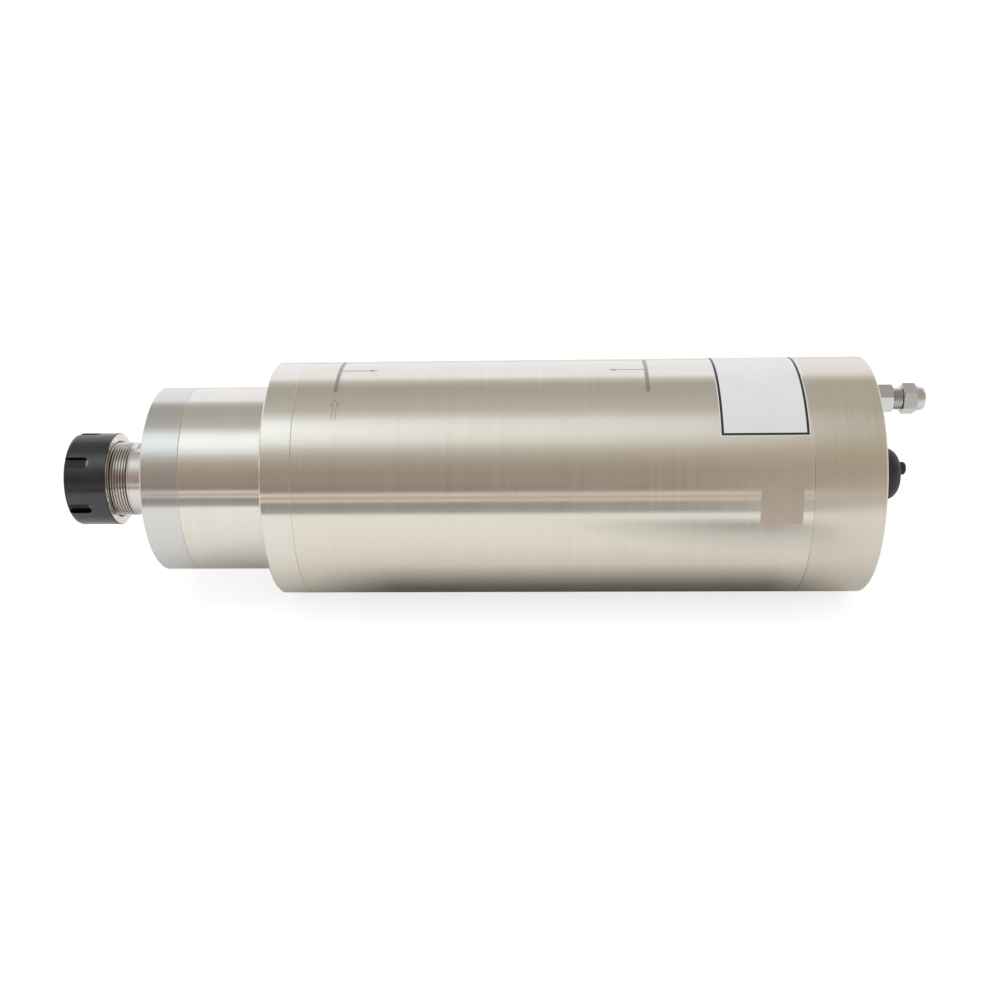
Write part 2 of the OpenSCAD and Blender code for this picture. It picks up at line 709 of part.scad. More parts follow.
module housing_sleeve() {
    b = seam_bevel;
    color("Gainsboro") turned([
        [sleeve_bore_r, x_sleeve_0], [body_r - b, x_sleeve_0], [body_r, x_sleeve_0 + b],
        [body_r, x_sleeve_1 - b], [body_r - b, x_sleeve_1], [sleeve_bore_r, x_sleeve_1]
    ]);
}

// Water jacket: axial channels, joined in turn at the front and at the rear
module water_jacket() {
    x_0 = x_sleeve_0 + front_collar;
    x_1 = x_jacket_1 - rear_collar;
    half = 180 / channels;
    cross_w = 2 * channel_floor_r * tan(half) - channel_w / 4;
    cross_len = channel_w * 0.75;
    step = 1.5;
    color("LightSteelBlue") difference() {
        ring(x_sleeve_0, x_jacket_1, sleeve_bore_r - fit, jacket_bore_r);
        around(channels, fitting_angle_1 + half) channel(x_0 + step, x_1 - step, channel_w);
        around(channels / 2, fitting_angle_1) channel(x_1 - cross_len, x_1, cross_w);
        around(channels / 2, fitting_angle_1 + 2 * half) channel(x_0, x_0 + cross_len, cross_w);
        for (a = fittings) at_angle(a) out_at(way_r) rod(x_1 - 1, x_jacket_1 + 1, way_d / 2);
        ring_groove(jacket_ring_x, sleeve_bore_r - fit, ring_r);
        around(flange_screws_n, 22.5) out_at(flange_screw_r)
            rod(x_sleeve_0 - 1, x_sleeve_0 + flange_screw_grip + 1, M4[0]);
    }
}

// One milled stretch of channel with a flat floor
module channel(x_0, x_1, w) {
    translate([x_0, -sleeve_bore_r - 5, -w / 2]) cube([x_1 - x_0, sleeve_bore_r + 5 - channel_floor_r, w]);
}

module jacket_oring() {
    color("Black") seal_ring(jacket_ring_x, sleeve_bore_r - fit, ring_r);
}

module spigot_orings() {
    color("Black") {
        seal_ring(front_spigot_ring_x, jacket_bore_r - fit, ring_r);
        seal_ring(rear_spigot_ring_x, jacket_bore_r - fit, ring_r);
    }
}

// Stator: laminated core with half-closed slots
module stator_core() {
    color("DarkGray") difference() {
        ring(x_stator_0, x_stator_1, jacket_bore_r - fit, stator_bore_r);
        around(stator_slots) {
            stator_cut(slot_in_r, slot_out_r, stator_slot_w);
            stator_cut(stator_bore_r - 1, slot_in_r + 0.5, slot_open_w);
        }
    }
}

module stator_cut(r_0, r_1, w) {
    translate([x_stator_0 - 1, -r_1, -w / 2]) cube([x_stator_1 - x_stator_0 + 2, r_1 - r_0, w]);
}

// Winding: one bundle per slot and the end turns at both ends
module stator_winding() {
    bar_w = stator_slot_w - 2 * fit;
    bar_in = slot_in_r + 0.5 + fit;
    bar_out = slot_out_r - fit;
    turn_in = stator_bore_r + 2.4;
    turn_out = slot_out_r + 3.5;
    x_a = x_stator_0 - front_turns;
    x_b = x_stator_1 + rear_turns;
    b = 3;
    color("Peru") {
        turned([
            [turn_in + b, x_a], [turn_out - b, x_a], [turn_out, x_a + b], [turn_out, x_stator_0 - 4],
            [turn_out - 3, x_stator_0 - fit], [turn_in, x_stator_0 - fit], [turn_in, x_a + b]
        ]);
        turned([
            [turn_in, x_stator_1 + fit], [turn_out - 3, x_stator_1 + fit], [turn_out, x_stator_1 + 4],
            [turn_out, x_b - b], [turn_out - b, x_b], [turn_in + b, x_b], [turn_in, x_b - b]
        ]);
        around(stator_slots) translate([x_stator_0 - 2, -bar_out, -bar_w / 2])
            cube([x_stator_1 - x_stator_0 + 4, bar_out - bar_in, bar_w]);
    }
}

// Rotor: laminated core with the holes for the cage's bars
module rotor_core() {
    color("DimGray") difference() {
        ring(x_stator_0, x_stator_1, rotor_r, shaft_rotor_r + fit);
        around(rotor_bars) out_at(bar_circle_r) rod(x_stator_0 - 1, x_stator_1 + 1, rotor_bar_d / 2);
    }
}

// Cage: the bars and the two end rings, cast in one piece
module rotor_cage() {
    ring_in = shaft_front_r + 0.5;
    ring_out = rotor_r - 0.7;
    color("LightGray") {
        ring(x_stator_0 - end_ring_len, x_stator_0 - fit, ring_out, ring_in);
        ring(x_stator_1 + fit, x_stator_1 + end_ring_len, ring_out, ring_in);
        around(rotor_bars) out_at(bar_circle_r)
            rod(x_stator_0 - 1, x_stator_1 + 1, rotor_bar_d / 2 - fit);
    }
}

// Rear housing: bearing bore, spigot, water ways and the passage for the leads
module rear_housing() {
    web_bore_r = shaft_rotor_r + 5;
    x_spigot = x_jacket_1 - rear_spigot_len;
    color("LightSlateGray") difference() {
        turned([
            [web_bore_r, x_jacket_1], [spigot_in_r, x_jacket_1], [spigot_in_r, x_spigot],
            [jacket_bore_r - fit, x_spigot], [jacket_bore_r - fit, x_jacket_1],
            [sleeve_bore_r - fit, x_jacket_1], [sleeve_bore_r - fit, x_sleeve_1], [rb_out_r, x_sleeve_1],
            [rb_out_r, x_rb_a], [web_bore_r, x_rb_a]
        ]);
        ring_groove(rear_ring_x, sleeve_bore_r - fit, ring_r);
        ring_groove(rear_spigot_ring_x, jacket_bore_r - fit, ring_r);
        for (a = fittings) at_angle(a) {
            out_at(fitting_r) rod(way_x - way_d / 2 - 1, x_sleeve_1 + 1, port_r);
            out_at(way_r) rod(x_jacket_1 - 1, way_x, way_d / 2);
            translate([way_x, -fitting_r, 0]) rotate([90, 0, 0])
                cylinder(h = body_r - fitting_r, d = way_d + 1);
        }
        at_angle(lead_angle) out_at(lead_circle_r) rod(x_jacket_1 - 1, x_sleeve_1 + 1, lead_hole_r);
        around(rear_screws_n) out_at(rear_screw_r)
            rod(x_sleeve_1 - rear_screw_grip - 2, x_sleeve_1 + 1, M5[0]);
        at_cover_screws() rod(x_sleeve_1 - cover_screw_grip - 1, x_sleeve_1 + 1, M3[0]);
    }
}

module rear_housing_oring() {
    color("Black") seal_ring(rear_ring_x, sleeve_bore_r - fit, ring_r);
}

// Two disc springs, back to back, that load the rear bearings
module preload_springs() {
    r_in = rb_out_r - 4.1;
    r_out = rb_out_r - 0.3;
    h = spring_cone - fit;
    x_a = x_rb_end;
    x_b = x_rb_end + spring_room;
    color("Goldenrod") {
        turned([[r_out, x_a], [r_out, x_a + spring_t], [r_in, x_a + spring_t + h], [r_in, x_a + h]]);
        turned([[r_out, x_b], [r_in, x_b - h], [r_in, x_b - spring_t - h], [r_out, x_b - spring_t]]);
    }
}

module rear_bearing_cover() {
    spigot_r = rb_out_r - 4.5;
    color("LightSteelBlue") difference() {
        turned([
            [cover_bore_r, x_sleeve_1], [spigot_r, x_sleeve_1], [spigot_r, x_sleeve_1 - cover_spigot],
            [rb_out_r - fit, x_sleeve_1 - cover_spigot], [rb_out_r - fit, x_sleeve_1],
            [cover_flange_r, x_sleeve_1], [cover_flange_r, x_sleeve_1 + cover_flange],
            [cover_bore_r, x_sleeve_1 + cover_flange]
        ]);
        at_cover_screws() rod(x_sleeve_1 - 1, x_sleeve_1 + cover_flange + 1, M3[0]);
    }
}

module bearing_cover_screws() {
    color("DimGray") at_cover_screws()
        socket_screw(M3, x_sleeve_1 + cover_flange, -1, cover_flange + cover_screw_grip);
}

// Slotted nut that clamps the rear inner rings on the shaft
module rear_lock_nut() {
    r_in = rb_bore_d / 2 - 0.5 + fit;
    r_out = cover_bore_r - 0.6;
    x_1 = x_sleeve_1 + 0.5;
    color("SlateGray") difference() {
        ring(x_rb_end, x_1, r_out, r_in);
        around(4, 45) translate([x_1 - 5, -r_out - 1, -2]) cube([6, 3, 4]);
    }
}

// Rear cap: a cup that holds the ports, the socket and the long screws
module rear_cap() {
    b = edge_bevel;
    color("Tan") difference() {
        turned([
            [0, x_sleeve_1], [body_r - seam_bevel, x_sleeve_1], [body_r, x_sleeve_1 + seam_bevel],
            [body_r, x_rear - b], [body_r - b, x_rear], [0, x_rear]
        ]);
        difference() {
            rod(x_sleeve_1 - 1, x_rear - rear_plate, chamber_r);
            for (a = fittings) at_angle(a) out_at(fitting_r) rod(x_sleeve_1 - 2, x_rear, port_boss_r);
        }
        for (a = fittings) at_angle(a) {
            out_at(fitting_r) rod(x_sleeve_1 - 1, x_rear - port_thread_deep + 1, port_r);
            out_at(fitting_r) rod(x_rear - port_thread_deep, x_rear + 1, port_thread_d / 2);
            out_at(fitting_r)
                ring(x_sleeve_1 - 1, x_sleeve_1 + 2 * face_ring_r, port_seal_r + 1.05, port_r);
        }
        around(rear_screws_n) out_at(rear_screw_r)
            screw_hole(M5, x_rear - rear_head_deep, -1, rear_cap_len, rear_head_deep + 1);
        rod(x_rear - rear_plate - 1, x_rear + 1, socket_back_r + fit);
        at_socket_screws() rod(x_rear - socket_screw_grip - 1, x_rear + 1, M3[0]);
    }
}

module port_seals() {
    color("Black") for (a = fittings) at_angle(a) out_at(fitting_r)
        torus(x_sleeve_1 + face_ring_r, port_seal_r, face_ring_r - fit);
}

module rear_cap_screws() {
    color("DimGray") around(rear_screws_n) out_at(rear_screw_r)
        socket_screw(M5, x_rear - rear_head_deep, -1, rear_cap_len - rear_head_deep + rear_screw_grip);
}

module lead_grommet() {
    r_in = lead_bundle_r + lead_d / 2 + 0.1;
    color("Black") at_angle(lead_angle) out_at(lead_circle_r) turned([
        [r_in, x_sleeve_1 - 6], [lead_hole_r - fit, x_sleeve_1 - 6], [lead_hole_r - fit, x_sleeve_1],
        [lead_hole_r + 0.2, x_sleeve_1], [lead_hole_r + 0.2, x_sleeve_1 + 1.5], [r_in, x_sleeve_1 + 1.5]
    ]);
}

// The leads run from the end turns through the rear housing to the back of the socket's pins.
// The route is a list of [x, distance from the axis, spread of the bundle].
lead_bundle_r = lead_d / 2 * 1.45;
x_lead_0 = x_stator_1 + rear_turns + fit;
lead_route = [
    [x_lead_0, lead_circle_r, lead_bundle_r],
    [x_sleeve_1 + 2, lead_circle_r, lead_bundle_r],
    [x_sleeve_1 + 5.5, lead_circle_r - 1, lead_bundle_r],
    [x_sleeve_1 + 8, lead_circle_r - 4, lead_bundle_r],
    [x_sleeve_1 + 9, lead_circle_r - 9, lead_bundle_r],
    [x_sleeve_1 + 9, 18, lead_bundle_r * 1.3],
    [x_sleeve_1 + 10, 8, lead_bundle_r * 1.8],
    [x_sleeve_1 + 12.5, 2, lead_bundle_r * 2.4],
    [x_pin_back - 2.5, 0, pin_circle_r],
    [x_pin_back - fit, 0, pin_circle_r]
];
lead_last = len(lead_route) - 1;
lead_sides = 8;

// Direction of the route at point i, in the plane of x and distance
function lead_dir(i) =
    let (
        p = lead_route[max(i - 1, 0)],
        q = lead_route[min(i + 1, lead_last)],
        d = [q[0] - p[0], q[1] - p[1]],
        ends = i == 0 || i == lead_last
    ) ends ? [1, 0] : d / norm(d);

// Points of the ring at point i of the lead whose place in the bundle is angle a
function lead_ring(i, a) =
    let (
        p = lead_route[i],
        d = lead_dir(i),
        side = p[2] * cos(a),
        up = p[2] * sin(a)
    ) [for (k = [0 : lead_sides - 1])
        let (
            t = k * 360 / lead_sides,
            s = side + lead_d / 2 * cos(t),
            u = up + lead_d / 2 * sin(t)
        ) [p[0] - d[1] * u, -(p[1] + d[0] * u), s]];

module lead(a) {
    points = [for (i = [0 : lead_last]) each lead_ring(i, a)];
    n = lead_sides;
    walls = [for (i = [0 : lead_last - 1], k = [0 : n - 1])
        [i * n + k, i * n + (k + 1) % n, (i + 1) * n + (k + 1) % n, (i + 1) * n + k]];
    start = [for (k = [0 : n - 1]) n - 1 - k];
    end = [for (k = [0 : n - 1]) lead_last * n + k];
    polyhedron(points = points, faces = concat(walls, [start], [end]));
}

module phase_leads() {
    color("OrangeRed") at_angle(lead_angle) for (a = [45 : 90 : 315]) lead(a);
}

// Socket: flanged metal shell, insulating insert and four pins
module socket_shell() {
    half = socket_flange / 2;
    corner = 3;
    color("Silver") difference() {
        union() {
            rod(x_socket_back, x_socket_flange + 1, socket_back_r);
            rod(x_socket_flange + 1, x_socket_end, socket_d / 2);
            translate([x_socket_flange, 0, 0]) rotate([0, 90, 0]) linear_extrude(flange_t) difference() {
                square(socket_flange, center = true);
                for (t = [0 : 90 : 270]) rotate(t) translate([half, half]) rotate(45)
                    square(corner * 1.2, center = true);
            }
        }
        rod(x_socket_back - 1, x_socket_end + 1, socket_bore_r);
        at_socket_screws() rod(x_socket_flange - 1, x_socket_barrel + 1, M3[0]);
    }
}

module socket_gasket() {
    color("Black") difference() {
        translate([x_rear, -socket_flange / 2 + 2, -socket_flange / 2 + 2])
            cube([gasket_t, socket_flange - 4, socket_flange - 4]);
        rod(x_rear - 1, x_socket_flange + 1, socket_back_r + fit);
        at_socket_screws() rod(x_rear - 1, x_socket_flange + 1, M3[0]);
    }
}

module socket_screws() {
    color("DimGray") at_socket_screws()
        socket_screw(M3, x_socket_barrel, -1, flange_t + gasket_t + socket_screw_grip);
}

module socket_insert() {
    color("DimGray") difference() {
        union() {
            rod(x_socket_back + 1, x_pin_front - 8, socket_bore_r - fit);
            around(1, lead_angle) translate([x_pin_front - 8.01, -socket_bore_r + 1, -1.5]) cube([6, 3, 3]);
        }
        pin_places() rod(x_socket_back - 1, x_pin_front, pin_d / 2);
    }
}

module pin_places() {
    at_angle(lead_angle) for (a = [45 : 90 : 315])
        translate([0, -pin_circle_r * sin(a), pin_circle_r * cos(a)]) children();
}

module socket_pins() {
    color("Gold") pin_places() rod(x_pin_back, x_pin_front, pin_d / 2 - fit);
}

// Rubber dust cap with a pull knob
module dust_cap() {
    r = dust_cap_d / 2;
    rr = dust_cap_round;
    kr = knob_d / 2;
    dome = 1.6;
    cavity_r = socket_d / 2 + 2 * running;
    x_knob = x_cap_end + knob_h;
    color("Black") {
        difference() {
            turned(concat(
                [[0, x_cap_mouth], [r - 0.5, x_cap_mouth], [r, x_cap_mouth + 0.5]],
                arc(r - rr, x_cap_end - rr, rr, 0, 90),
                [[0, x_cap_end]]
            ));
            rod(x_cap_mouth - 1, x_socket_end + 0.4, cavity_r);
        }
        at_angle(knob_angle) out_at(knob_off) turned(concat(
            [[0, x_cap_end - 1], [kr, x_cap_end - 1]],
            arc(kr - dome, x_knob - dome, dome, 0, 90, 5),
            [[0, x_knob]]
        ));
    }
}

// A hexagonal bar along the axis with turned bevels: bevel_0 at x0 and bevel_1 at x1
module hex_bar(x0, x1, turn, bevel_0, bevel_1) {
    corner_r = fitting_af / 2 / cos(30);
    intersection() {
        at_angle(turn - 30) rod(x0, x1, corner_r, $fn = 6);
        turned([[0, x0], [corner_r - bevel_0, x0], [corner_r + 0.1, x0 + bevel_0 * 0.6],
            [corner_r + 0.1, x1 - bevel_1 * 0.6], [corner_r - bevel_1, x1], [0, x1]]);
    }
}

// Fixed half of a water fitting
module nozzle_body(a) {
    seat_r = hose_bore_r + 1.1;
    color("Silver") at_angle(a) out_at(fitting_r) rotate([a, 0, 0]) difference() {
        union() {
            hex_bar(x_fit_base, x_fit_thread, fitting_base_turn, 0.3, 0.9);
            rod(x_rear - port_thread_deep + 1.5, x_fit_base + 1, port_thread_d / 2 - fit);
            rod(x_fit_thread - 1, x_fit_body_end, fitting_thread_d / 2);
        }
        rod(x_rear - port_thread_deep, x_hose_stop + 1, fitting_bore_r);
        rod(x_hose_stop, x_fit_body_end + 1, hose_bore_r);
        turned([[0, x_fit_body_end - 1.1], [hose_bore_r, x_fit_body_end - 1.1], [seat_r, x_fit_body_end],
            [seat_r, x_fit_body_end + 1], [0, x_fit_body_end + 1]]);
    }
}

// Nut of a water fitting, with a tapered end that the hose goes into
module nozzle_nut(a) {
    end_r = 5.5;
    taper_r = fitting_af / 2 - 0.3;
    color("Silver") at_angle(a) out_at(fitting_r) rotate([a, 0, 0]) difference() {
        union() {
            hex_bar(x_fit_nut, x_fit_hex, fitting_nut_turn, 0.9, 1.05);
            turned([[0, x_fit_hex - 0.5], [taper_r, x_fit_hex - 0.5], [taper_r, x_fit_hex],
                [end_r + 0.6, x_fit_end - 1], [end_r, x_fit_end], [0, x_fit_end]]);
        }
        rod(x_fit_nut - 1, x_fit_seat, fitting_thread_d / 2 + running);
        rod(x_fit_seat - 1, x_fit_end + 1, hose_bore_r);
    }
}

// Clamping ring between the two halves of a water fitting
module nozzle_ferrule(a) {
    seat_r = hose_bore_r + 1.1;
    x_0 = x_fit_body_end - 0.7;
    x_1 = x_fit_seat - running;
    color("Goldenrod") at_angle(a) out_at(fitting_r) turned([
        [hose_bore_r, x_0], [hose_bore_r + 0.25, x_0], [seat_r + 0.05, x_fit_body_end + 0.1],
        [seat_r + 0.05, x_1], [hose_bore_r, x_1]
    ]);
}

module nozzle_body_1() nozzle_body(fitting_angle_1);
module nozzle_body_2() nozzle_body(fitting_angle_2);
module nozzle_nut_1() nozzle_nut(fitting_angle_1);
module nozzle_nut_2() nozzle_nut(fitting_angle_2);
module nozzle_ferrule_1() nozzle_ferrule(fitting_angle_1);
module nozzle_ferrule_2() nozzle_ferrule(fitting_angle_2);

module nozzle_washers() {
    color("Peru") for (a = fittings) at_angle(a) out_at(fitting_r)
        ring(x_rear, x_fit_base, port_thread_d / 2 + 1.9, port_thread_d / 2);
}

nose_cap();
nose_cap_screws();
nose_cap_oring();
front_housing();
flange_screws();
front_bearing_a_outer_ring();
front_bearing_a_inner_ring();
front_bearing_a_balls();
front_bearing_a_cage();
front_bearing_b_outer_ring();
front_bearing_b_inner_ring();
front_bearing_b_balls();
front_bearing_b_cage();
front_outer_spacer();
front_inner_spacer();
labyrinth_ring();
spindle_shaft();
collet();
collet_nut();
housing_sleeve();
water_jacket();
jacket_oring();
spigot_orings();
stator_core();
stator_winding();
rotor_core();
rotor_cage();
rear_bearing_a_outer_ring();
rear_bearing_a_inner_ring();
rear_bearing_a_balls();
rear_bearing_a_cage();
rear_bearing_b_outer_ring();
rear_bearing_b_inner_ring();
rear_bearing_b_balls();
rear_bearing_b_cage();
rear_housing();
rear_housing_oring();
preload_springs();
rear_bearing_cover();
bearing_cover_screws();
rear_lock_nut();
rear_cap();
rear_cap_screws();
port_seals();
phase_leads();
lead_grommet();
socket_shell();
socket_gasket();
socket_screws();
socket_insert();
socket_pins();
dust_cap();
nozzle_body_1();
nozzle_body_2();
nozzle_nut_1();
nozzle_nut_2();
nozzle_ferrule_1();
nozzle_ferrule_2();
nozzle_washers();
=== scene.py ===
import math

import bmesh
import bpy
from bpy.props import FloatProperty, FloatVectorProperty, IntProperty, PointerProperty
from mathutils import Matrix, Vector


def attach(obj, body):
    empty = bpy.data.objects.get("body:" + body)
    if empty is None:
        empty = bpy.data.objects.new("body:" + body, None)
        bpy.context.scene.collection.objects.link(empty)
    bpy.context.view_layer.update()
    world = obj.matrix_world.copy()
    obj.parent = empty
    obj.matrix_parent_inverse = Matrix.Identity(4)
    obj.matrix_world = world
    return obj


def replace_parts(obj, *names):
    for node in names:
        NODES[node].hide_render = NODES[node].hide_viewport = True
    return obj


bl_info = {
    "name": "Motor Spindle Finish",
    "version": (1, 0, 0),
    "blender": (4, 5, 0),
    "location": "View3D > Sidebar > Spindle",
    "description": "Finishes, threads, marks and studio for a water-cooled motor spindle",
    "category": "Object",
}

# The spindle lies along X, nose towards -X. Angles round it count from -Y towards +Z.
# Settings hold metres and radians, as Blender's do, and the studio is laid out in metres.
# All other sizes here are in millimetres and degrees.
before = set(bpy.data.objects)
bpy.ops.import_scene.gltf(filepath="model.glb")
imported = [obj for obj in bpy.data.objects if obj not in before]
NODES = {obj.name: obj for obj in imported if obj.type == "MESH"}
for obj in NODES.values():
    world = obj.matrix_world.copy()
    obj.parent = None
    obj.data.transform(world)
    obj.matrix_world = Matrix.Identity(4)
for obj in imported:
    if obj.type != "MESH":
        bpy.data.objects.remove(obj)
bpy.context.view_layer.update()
MM = 0.001

BODY_R = 62.5
FITTING_R = 43.6
FITTING_ANGLES = (90, 210)

# Plain cylinders that are cut to a thread: radius, from x, to x
NUT_BAND = (20.0, -216.2, -195.6)
FITTING_BAND = (5.75, 204.8, 214.5)
SOCKET_BAND = (13.0, 195.8, 207.6)

# Zones with a finish of their own, or darkened as painted shade (the thread roots and the insides of the nut's
# slots): from x, to x, inner radius, outer radius
NUT_THREAD_ROOT = (-216.5, -195.4, 18.0, 19.6)
FITTING_THREAD_ROOT = (204.9, 214.6, 4.3, 5.3)
NUT_REAR_FACE = (-206.1, -200.0, 17.0, 24.6)
NUT_SLOT_ENDS = (-217.4, -214.6, 22.0, 24.4)
NUT_SLOTS = (-228.4, -214.6, 20.5, 24.8)

# Marks and the sticker are thin plates, sunk in the body and just proud of it
PLATE_OUTER = BODY_R + 0.012
PLATE_INNER = BODY_R - 0.1
FRONT_BAR_ANGLES = (70.6, 104.0)
REAR_BAR_ANGLES = (69.0, 103.5)
FRONT_ARROW = (20.5, 88.7)  # how far it reaches from its bar, and its angle
REAR_ARROW = (18.2, 87.1)
ARROW_HEAD = 3.7
ARROW_HEAD_HALF = 1.25  # degrees
ARROW_LINE_HALF = 0.34
STICKER_MARGIN = 0.45
STICKER_BORDER = 1.25
PATCH = (131.2, 151.8, 3.8, 23.3)  # from x, to x, lower angle, upper angle


def in_mm(*metres):
    return [value / MM for value in metres]


def on_cylinder(x, angle, r):
    """The point at x, at an angle round the spindle and r from its axis, in metres."""
    a = math.radians(angle)
    return Vector((x * MM, -r * math.cos(a) * MM, r * math.sin(a) * MM))


# ---- Sizes and colours that a user would change ----

def colour(name, description, value):
    return FloatVectorProperty(name=name, description=description, subtype="COLOR", size=3,
                               min=0, max=1, default=value)


def length(name, description, mm, low=0.0, high=500.0):
    return FloatProperty(name=name, description=description, subtype="DISTANCE",
                         min=low * MM, max=high * MM, default=mm * MM)


def degrees(name, description, value, low=-30.0, high=30.0):
    return FloatProperty(name=name, description=description, subtype="ANGLE",
                         min=math.radians(low), max=math.radians(high), default=math.radians(value))


def share(name, description, value):
    return FloatProperty(name=name, description=description, subtype="FACTOR", min=0, max=1, default=value)


class SteelLook(bpy.types.PropertyGroup):
    """Colours and grain of the turned and ground steel"""
    sleeve: colour("Sleeve", "Colour of the ground sleeve and flange", (0.79, 0.75, 0.675))
    nose: colour("Nose", "Colour of the polished nose", (0.80, 0.767, 0.705))
    nose_cap: colour("Nose cap", "Colour of the nose cap", (0.70, 0.70, 0.69))
    rear_cap: colour("Rear cap", "Colour of the rear cap", (0.74, 0.695, 0.61))
    shaft: colour("Shaft", "Colour of the shaft's end", (0.76, 0.74, 0.71))
    sleeve_rough: share("Sleeve roughness", "Roughness of the ground sleeve", 0.15)
    nose_rough: share("Nose roughness", "Roughness of the polished nose", 0.135)
    cap_rough: share("Nose cap roughness", "Roughness of the nose cap", 0.165)
    rear_rough: share("Rear cap roughness", "Roughness of the rear cap", 0.2)
    grain: length("Grain", "Spacing of the fine turning marks", 1.3, 0.05, 5)


class ThreadSizes(bpy.types.PropertyGroup):
    """Pitch and depth of the threads that show"""
    nut_pitch: length("Nut thread pitch", "Pitch of the collet nut's thread", 1.5, 0.5, 4)
    nut_depth: length("Nut thread depth", "Depth of the collet nut's thread", 0.85, 0.2, 2)
    fitting_pitch: length("Fitting pitch", "Pitch of the water fittings' thread", 1.0, 0.3, 2)
    fitting_depth: length("Fitting depth", "Depth of the water fittings' thread", 0.5, 0.1, 1)
    socket_pitch: length("Socket pitch", "Pitch of the cable socket's thread", 1.5, 0.5, 3)
    socket_depth: length("Socket depth", "Depth of the cable socket's thread", 0.6, 0.1, 1)
    turn_points: IntProperty(name="Points in a turn", description="Points in each turn of a thread",
                             min=24, max=256, default=96)


class MarkSizes(bpy.types.PropertyGroup):
    """Etched marks, the sticker and the cleaned patch on the body"""
    front_bar: length("Front bar", "Place of the front bar of the clamping zone", -80.3, -99, 150)
    rear_bar: length("Rear bar", "Place of the rear bar of the clamping zone", 77.1, -99, 150)
    bar_width: length("Bar width", "Width of a bar", 2.0, 0.5, 5)
    ink: colour("Etching", "Colour of the etched marks", (0.42, 0.40, 0.36))
    label_front: length("Sticker's front edge", "Where the sticker starts", 111.9, -99, 150)
    label_rear: length("Sticker's rear edge", "Where the sticker ends", 155.4, -99, 156)
    label_low: degrees("Sticker's lower edge", "Angle of its lower edge round the spindle", 44.4, 0, 85)
    label_white: colour("Sticker white", "Colour of the sticker", (0.72, 0.72, 0.71))
    label_line: colour("Sticker line", "Colour of the sticker's border", (0.02, 0.02, 0.022))
    patch: colour("Patch", "Colour of the cleaned patch", (0.65, 0.577, 0.497))


class FinishColours(bpy.types.PropertyGroup):
    """Colours of the smaller pieces"""
    oxide: colour("Black oxide", "Colour of the collet nut", (0.080, 0.081, 0.084))
    nickel: colour("Nickel", "Colour of the water fittings", (0.67, 0.68, 0.69))
    rubber: colour("Rubber", "Colour of the dust cap and seals", (0.018, 0.018, 0.019))
    brass: colour("Brass", "Colour of brass", (0.72, 0.52, 0.25))
    copper: colour("Copper", "Colour of the windings", (0.62, 0.27, 0.13))
    aluminium: colour("Aluminium", "Colour of aluminium", (0.72, 0.73, 0.74))
    # the next two colours are painted shade, the darkening in the roots of the collet nut's and the water
    # fittings' threads
    nut_thread_shade: colour("Grease", "Colour of the grease in the collet nut's thread", (0.38, 0.33, 0.28))
    fitting_thread_shade: colour("Tarnish", "Colour of the water fittings' thread roots", (0.34, 0.34, 0.34))
    black_screw: colour("Black screws", "Colour of the blackened screws", (0.10, 0.10, 0.105))
    bright_screw: colour("Bright screws", "Colour of the socket's screws", (0.66, 0.65, 0.63))
    insert: colour("Insert", "Colour of the cable socket's insert", (0.05, 0.048, 0.045))
    gold: colour("Contacts", "Colour of the gilt contacts", (0.86, 0.64, 0.28))
    ball: colour("Balls", "Colour of the bearings' balls", (0.80, 0.80, 0.80))
    cage: colour("Cages", "Colour of the bearings' cages", (0.42, 0.24, 0.11))
    lamination: colour("Laminations", "Colour of the motor's cores", (0.36, 0.37, 0.39))
    spring: colour("Springs", "Colour of the disc springs", (0.40, 0.41, 0.44))
    lead: colour("Leads", "Colour of the leads' jackets", (0.30, 0.045, 0.03))


class StudioSettings(bpy.types.PropertyGroup):
    """Camera, floor and lamp"""
    lens: FloatProperty(name="Focal length", description="Focal length of the camera",
                        subtype="DISTANCE_CAMERA", min=10, max=200, default=42.25)
    distance: length("Distance", "Distance of the camera from the spindle's axis", 635.2, 100, 5000)
    along: length("Along", "Place of the camera along the spindle", 27.9, -500, 500)
    raised: degrees("Raised", "Camera's height angle", 27.0, -80, 80)
    yaw: degrees("Yaw", "Camera's turn to the rear", -2.36)
    pitch: degrees("Pitch", "Camera's tilt down", 1.16)
    roll: degrees("Roll", "Camera's roll", -0.37)
    floor: colour("Floor", "Colour of the floor", (0.9, 0.89, 0.87))
    key: FloatProperty(name="Key lamp", description="Power of the soft key lamp", subtype="POWER",
                       min=0, max=500, default=7.0)
    fill: share("Fill", "Strength of the even light from all round", 0.86)


# ---- Node helpers ----

def add(tree, kind, **values):
    """Adds a node to rows of ten, with its settings and its unlinked inputs given by name."""
    node = tree.nodes.new(kind)
    row, column = divmod(len(tree.nodes) - 1, 10)
    node.location = (column * 220, row * -350)
    for key, value in values.items():
        if key in node.inputs:
            node.inputs[key].default_value = value
        else:
            setattr(node, key, value)
    return node


def link_nodes(tree, *pairs):
    for a, b in pairs:
        tree.links.new(a, b)


def feed(tree, socket, value):
    """Links a socket to another one, or sets it to a number or a colour."""
    if isinstance(value, bpy.types.NodeSocket):
        tree.links.new(value, socket)
    elif hasattr(value, "__len__"):
        socket.default_value = (*value[:3], 1)
    else:
        socket.default_value = value


def math_node(tree, operation, *values, clamp=False):
    node = add(tree, "ShaderNodeMath", operation=operation, use_clamp=clamp)
    for socket, value in zip(node.inputs, values):
        feed(tree, socket, value)
    return node.outputs[0]


def times(tree, a, b, plus=None, clamp=False):
    """a times b, and plus a third value where one is given."""
    if plus is None:
        return math_node(tree, "MULTIPLY", a, b, clamp=clamp)
    return math_node(tree, "MULTIPLY_ADD", a, b, plus, clamp=clamp)


def rise(tree, value, zero, one):
    """0 where the value is zero or beyond it, 1 where it is one or beyond, and even in between."""
    return times(tree, value, 1 / (one - zero), zero / (zero - one), clamp=True)


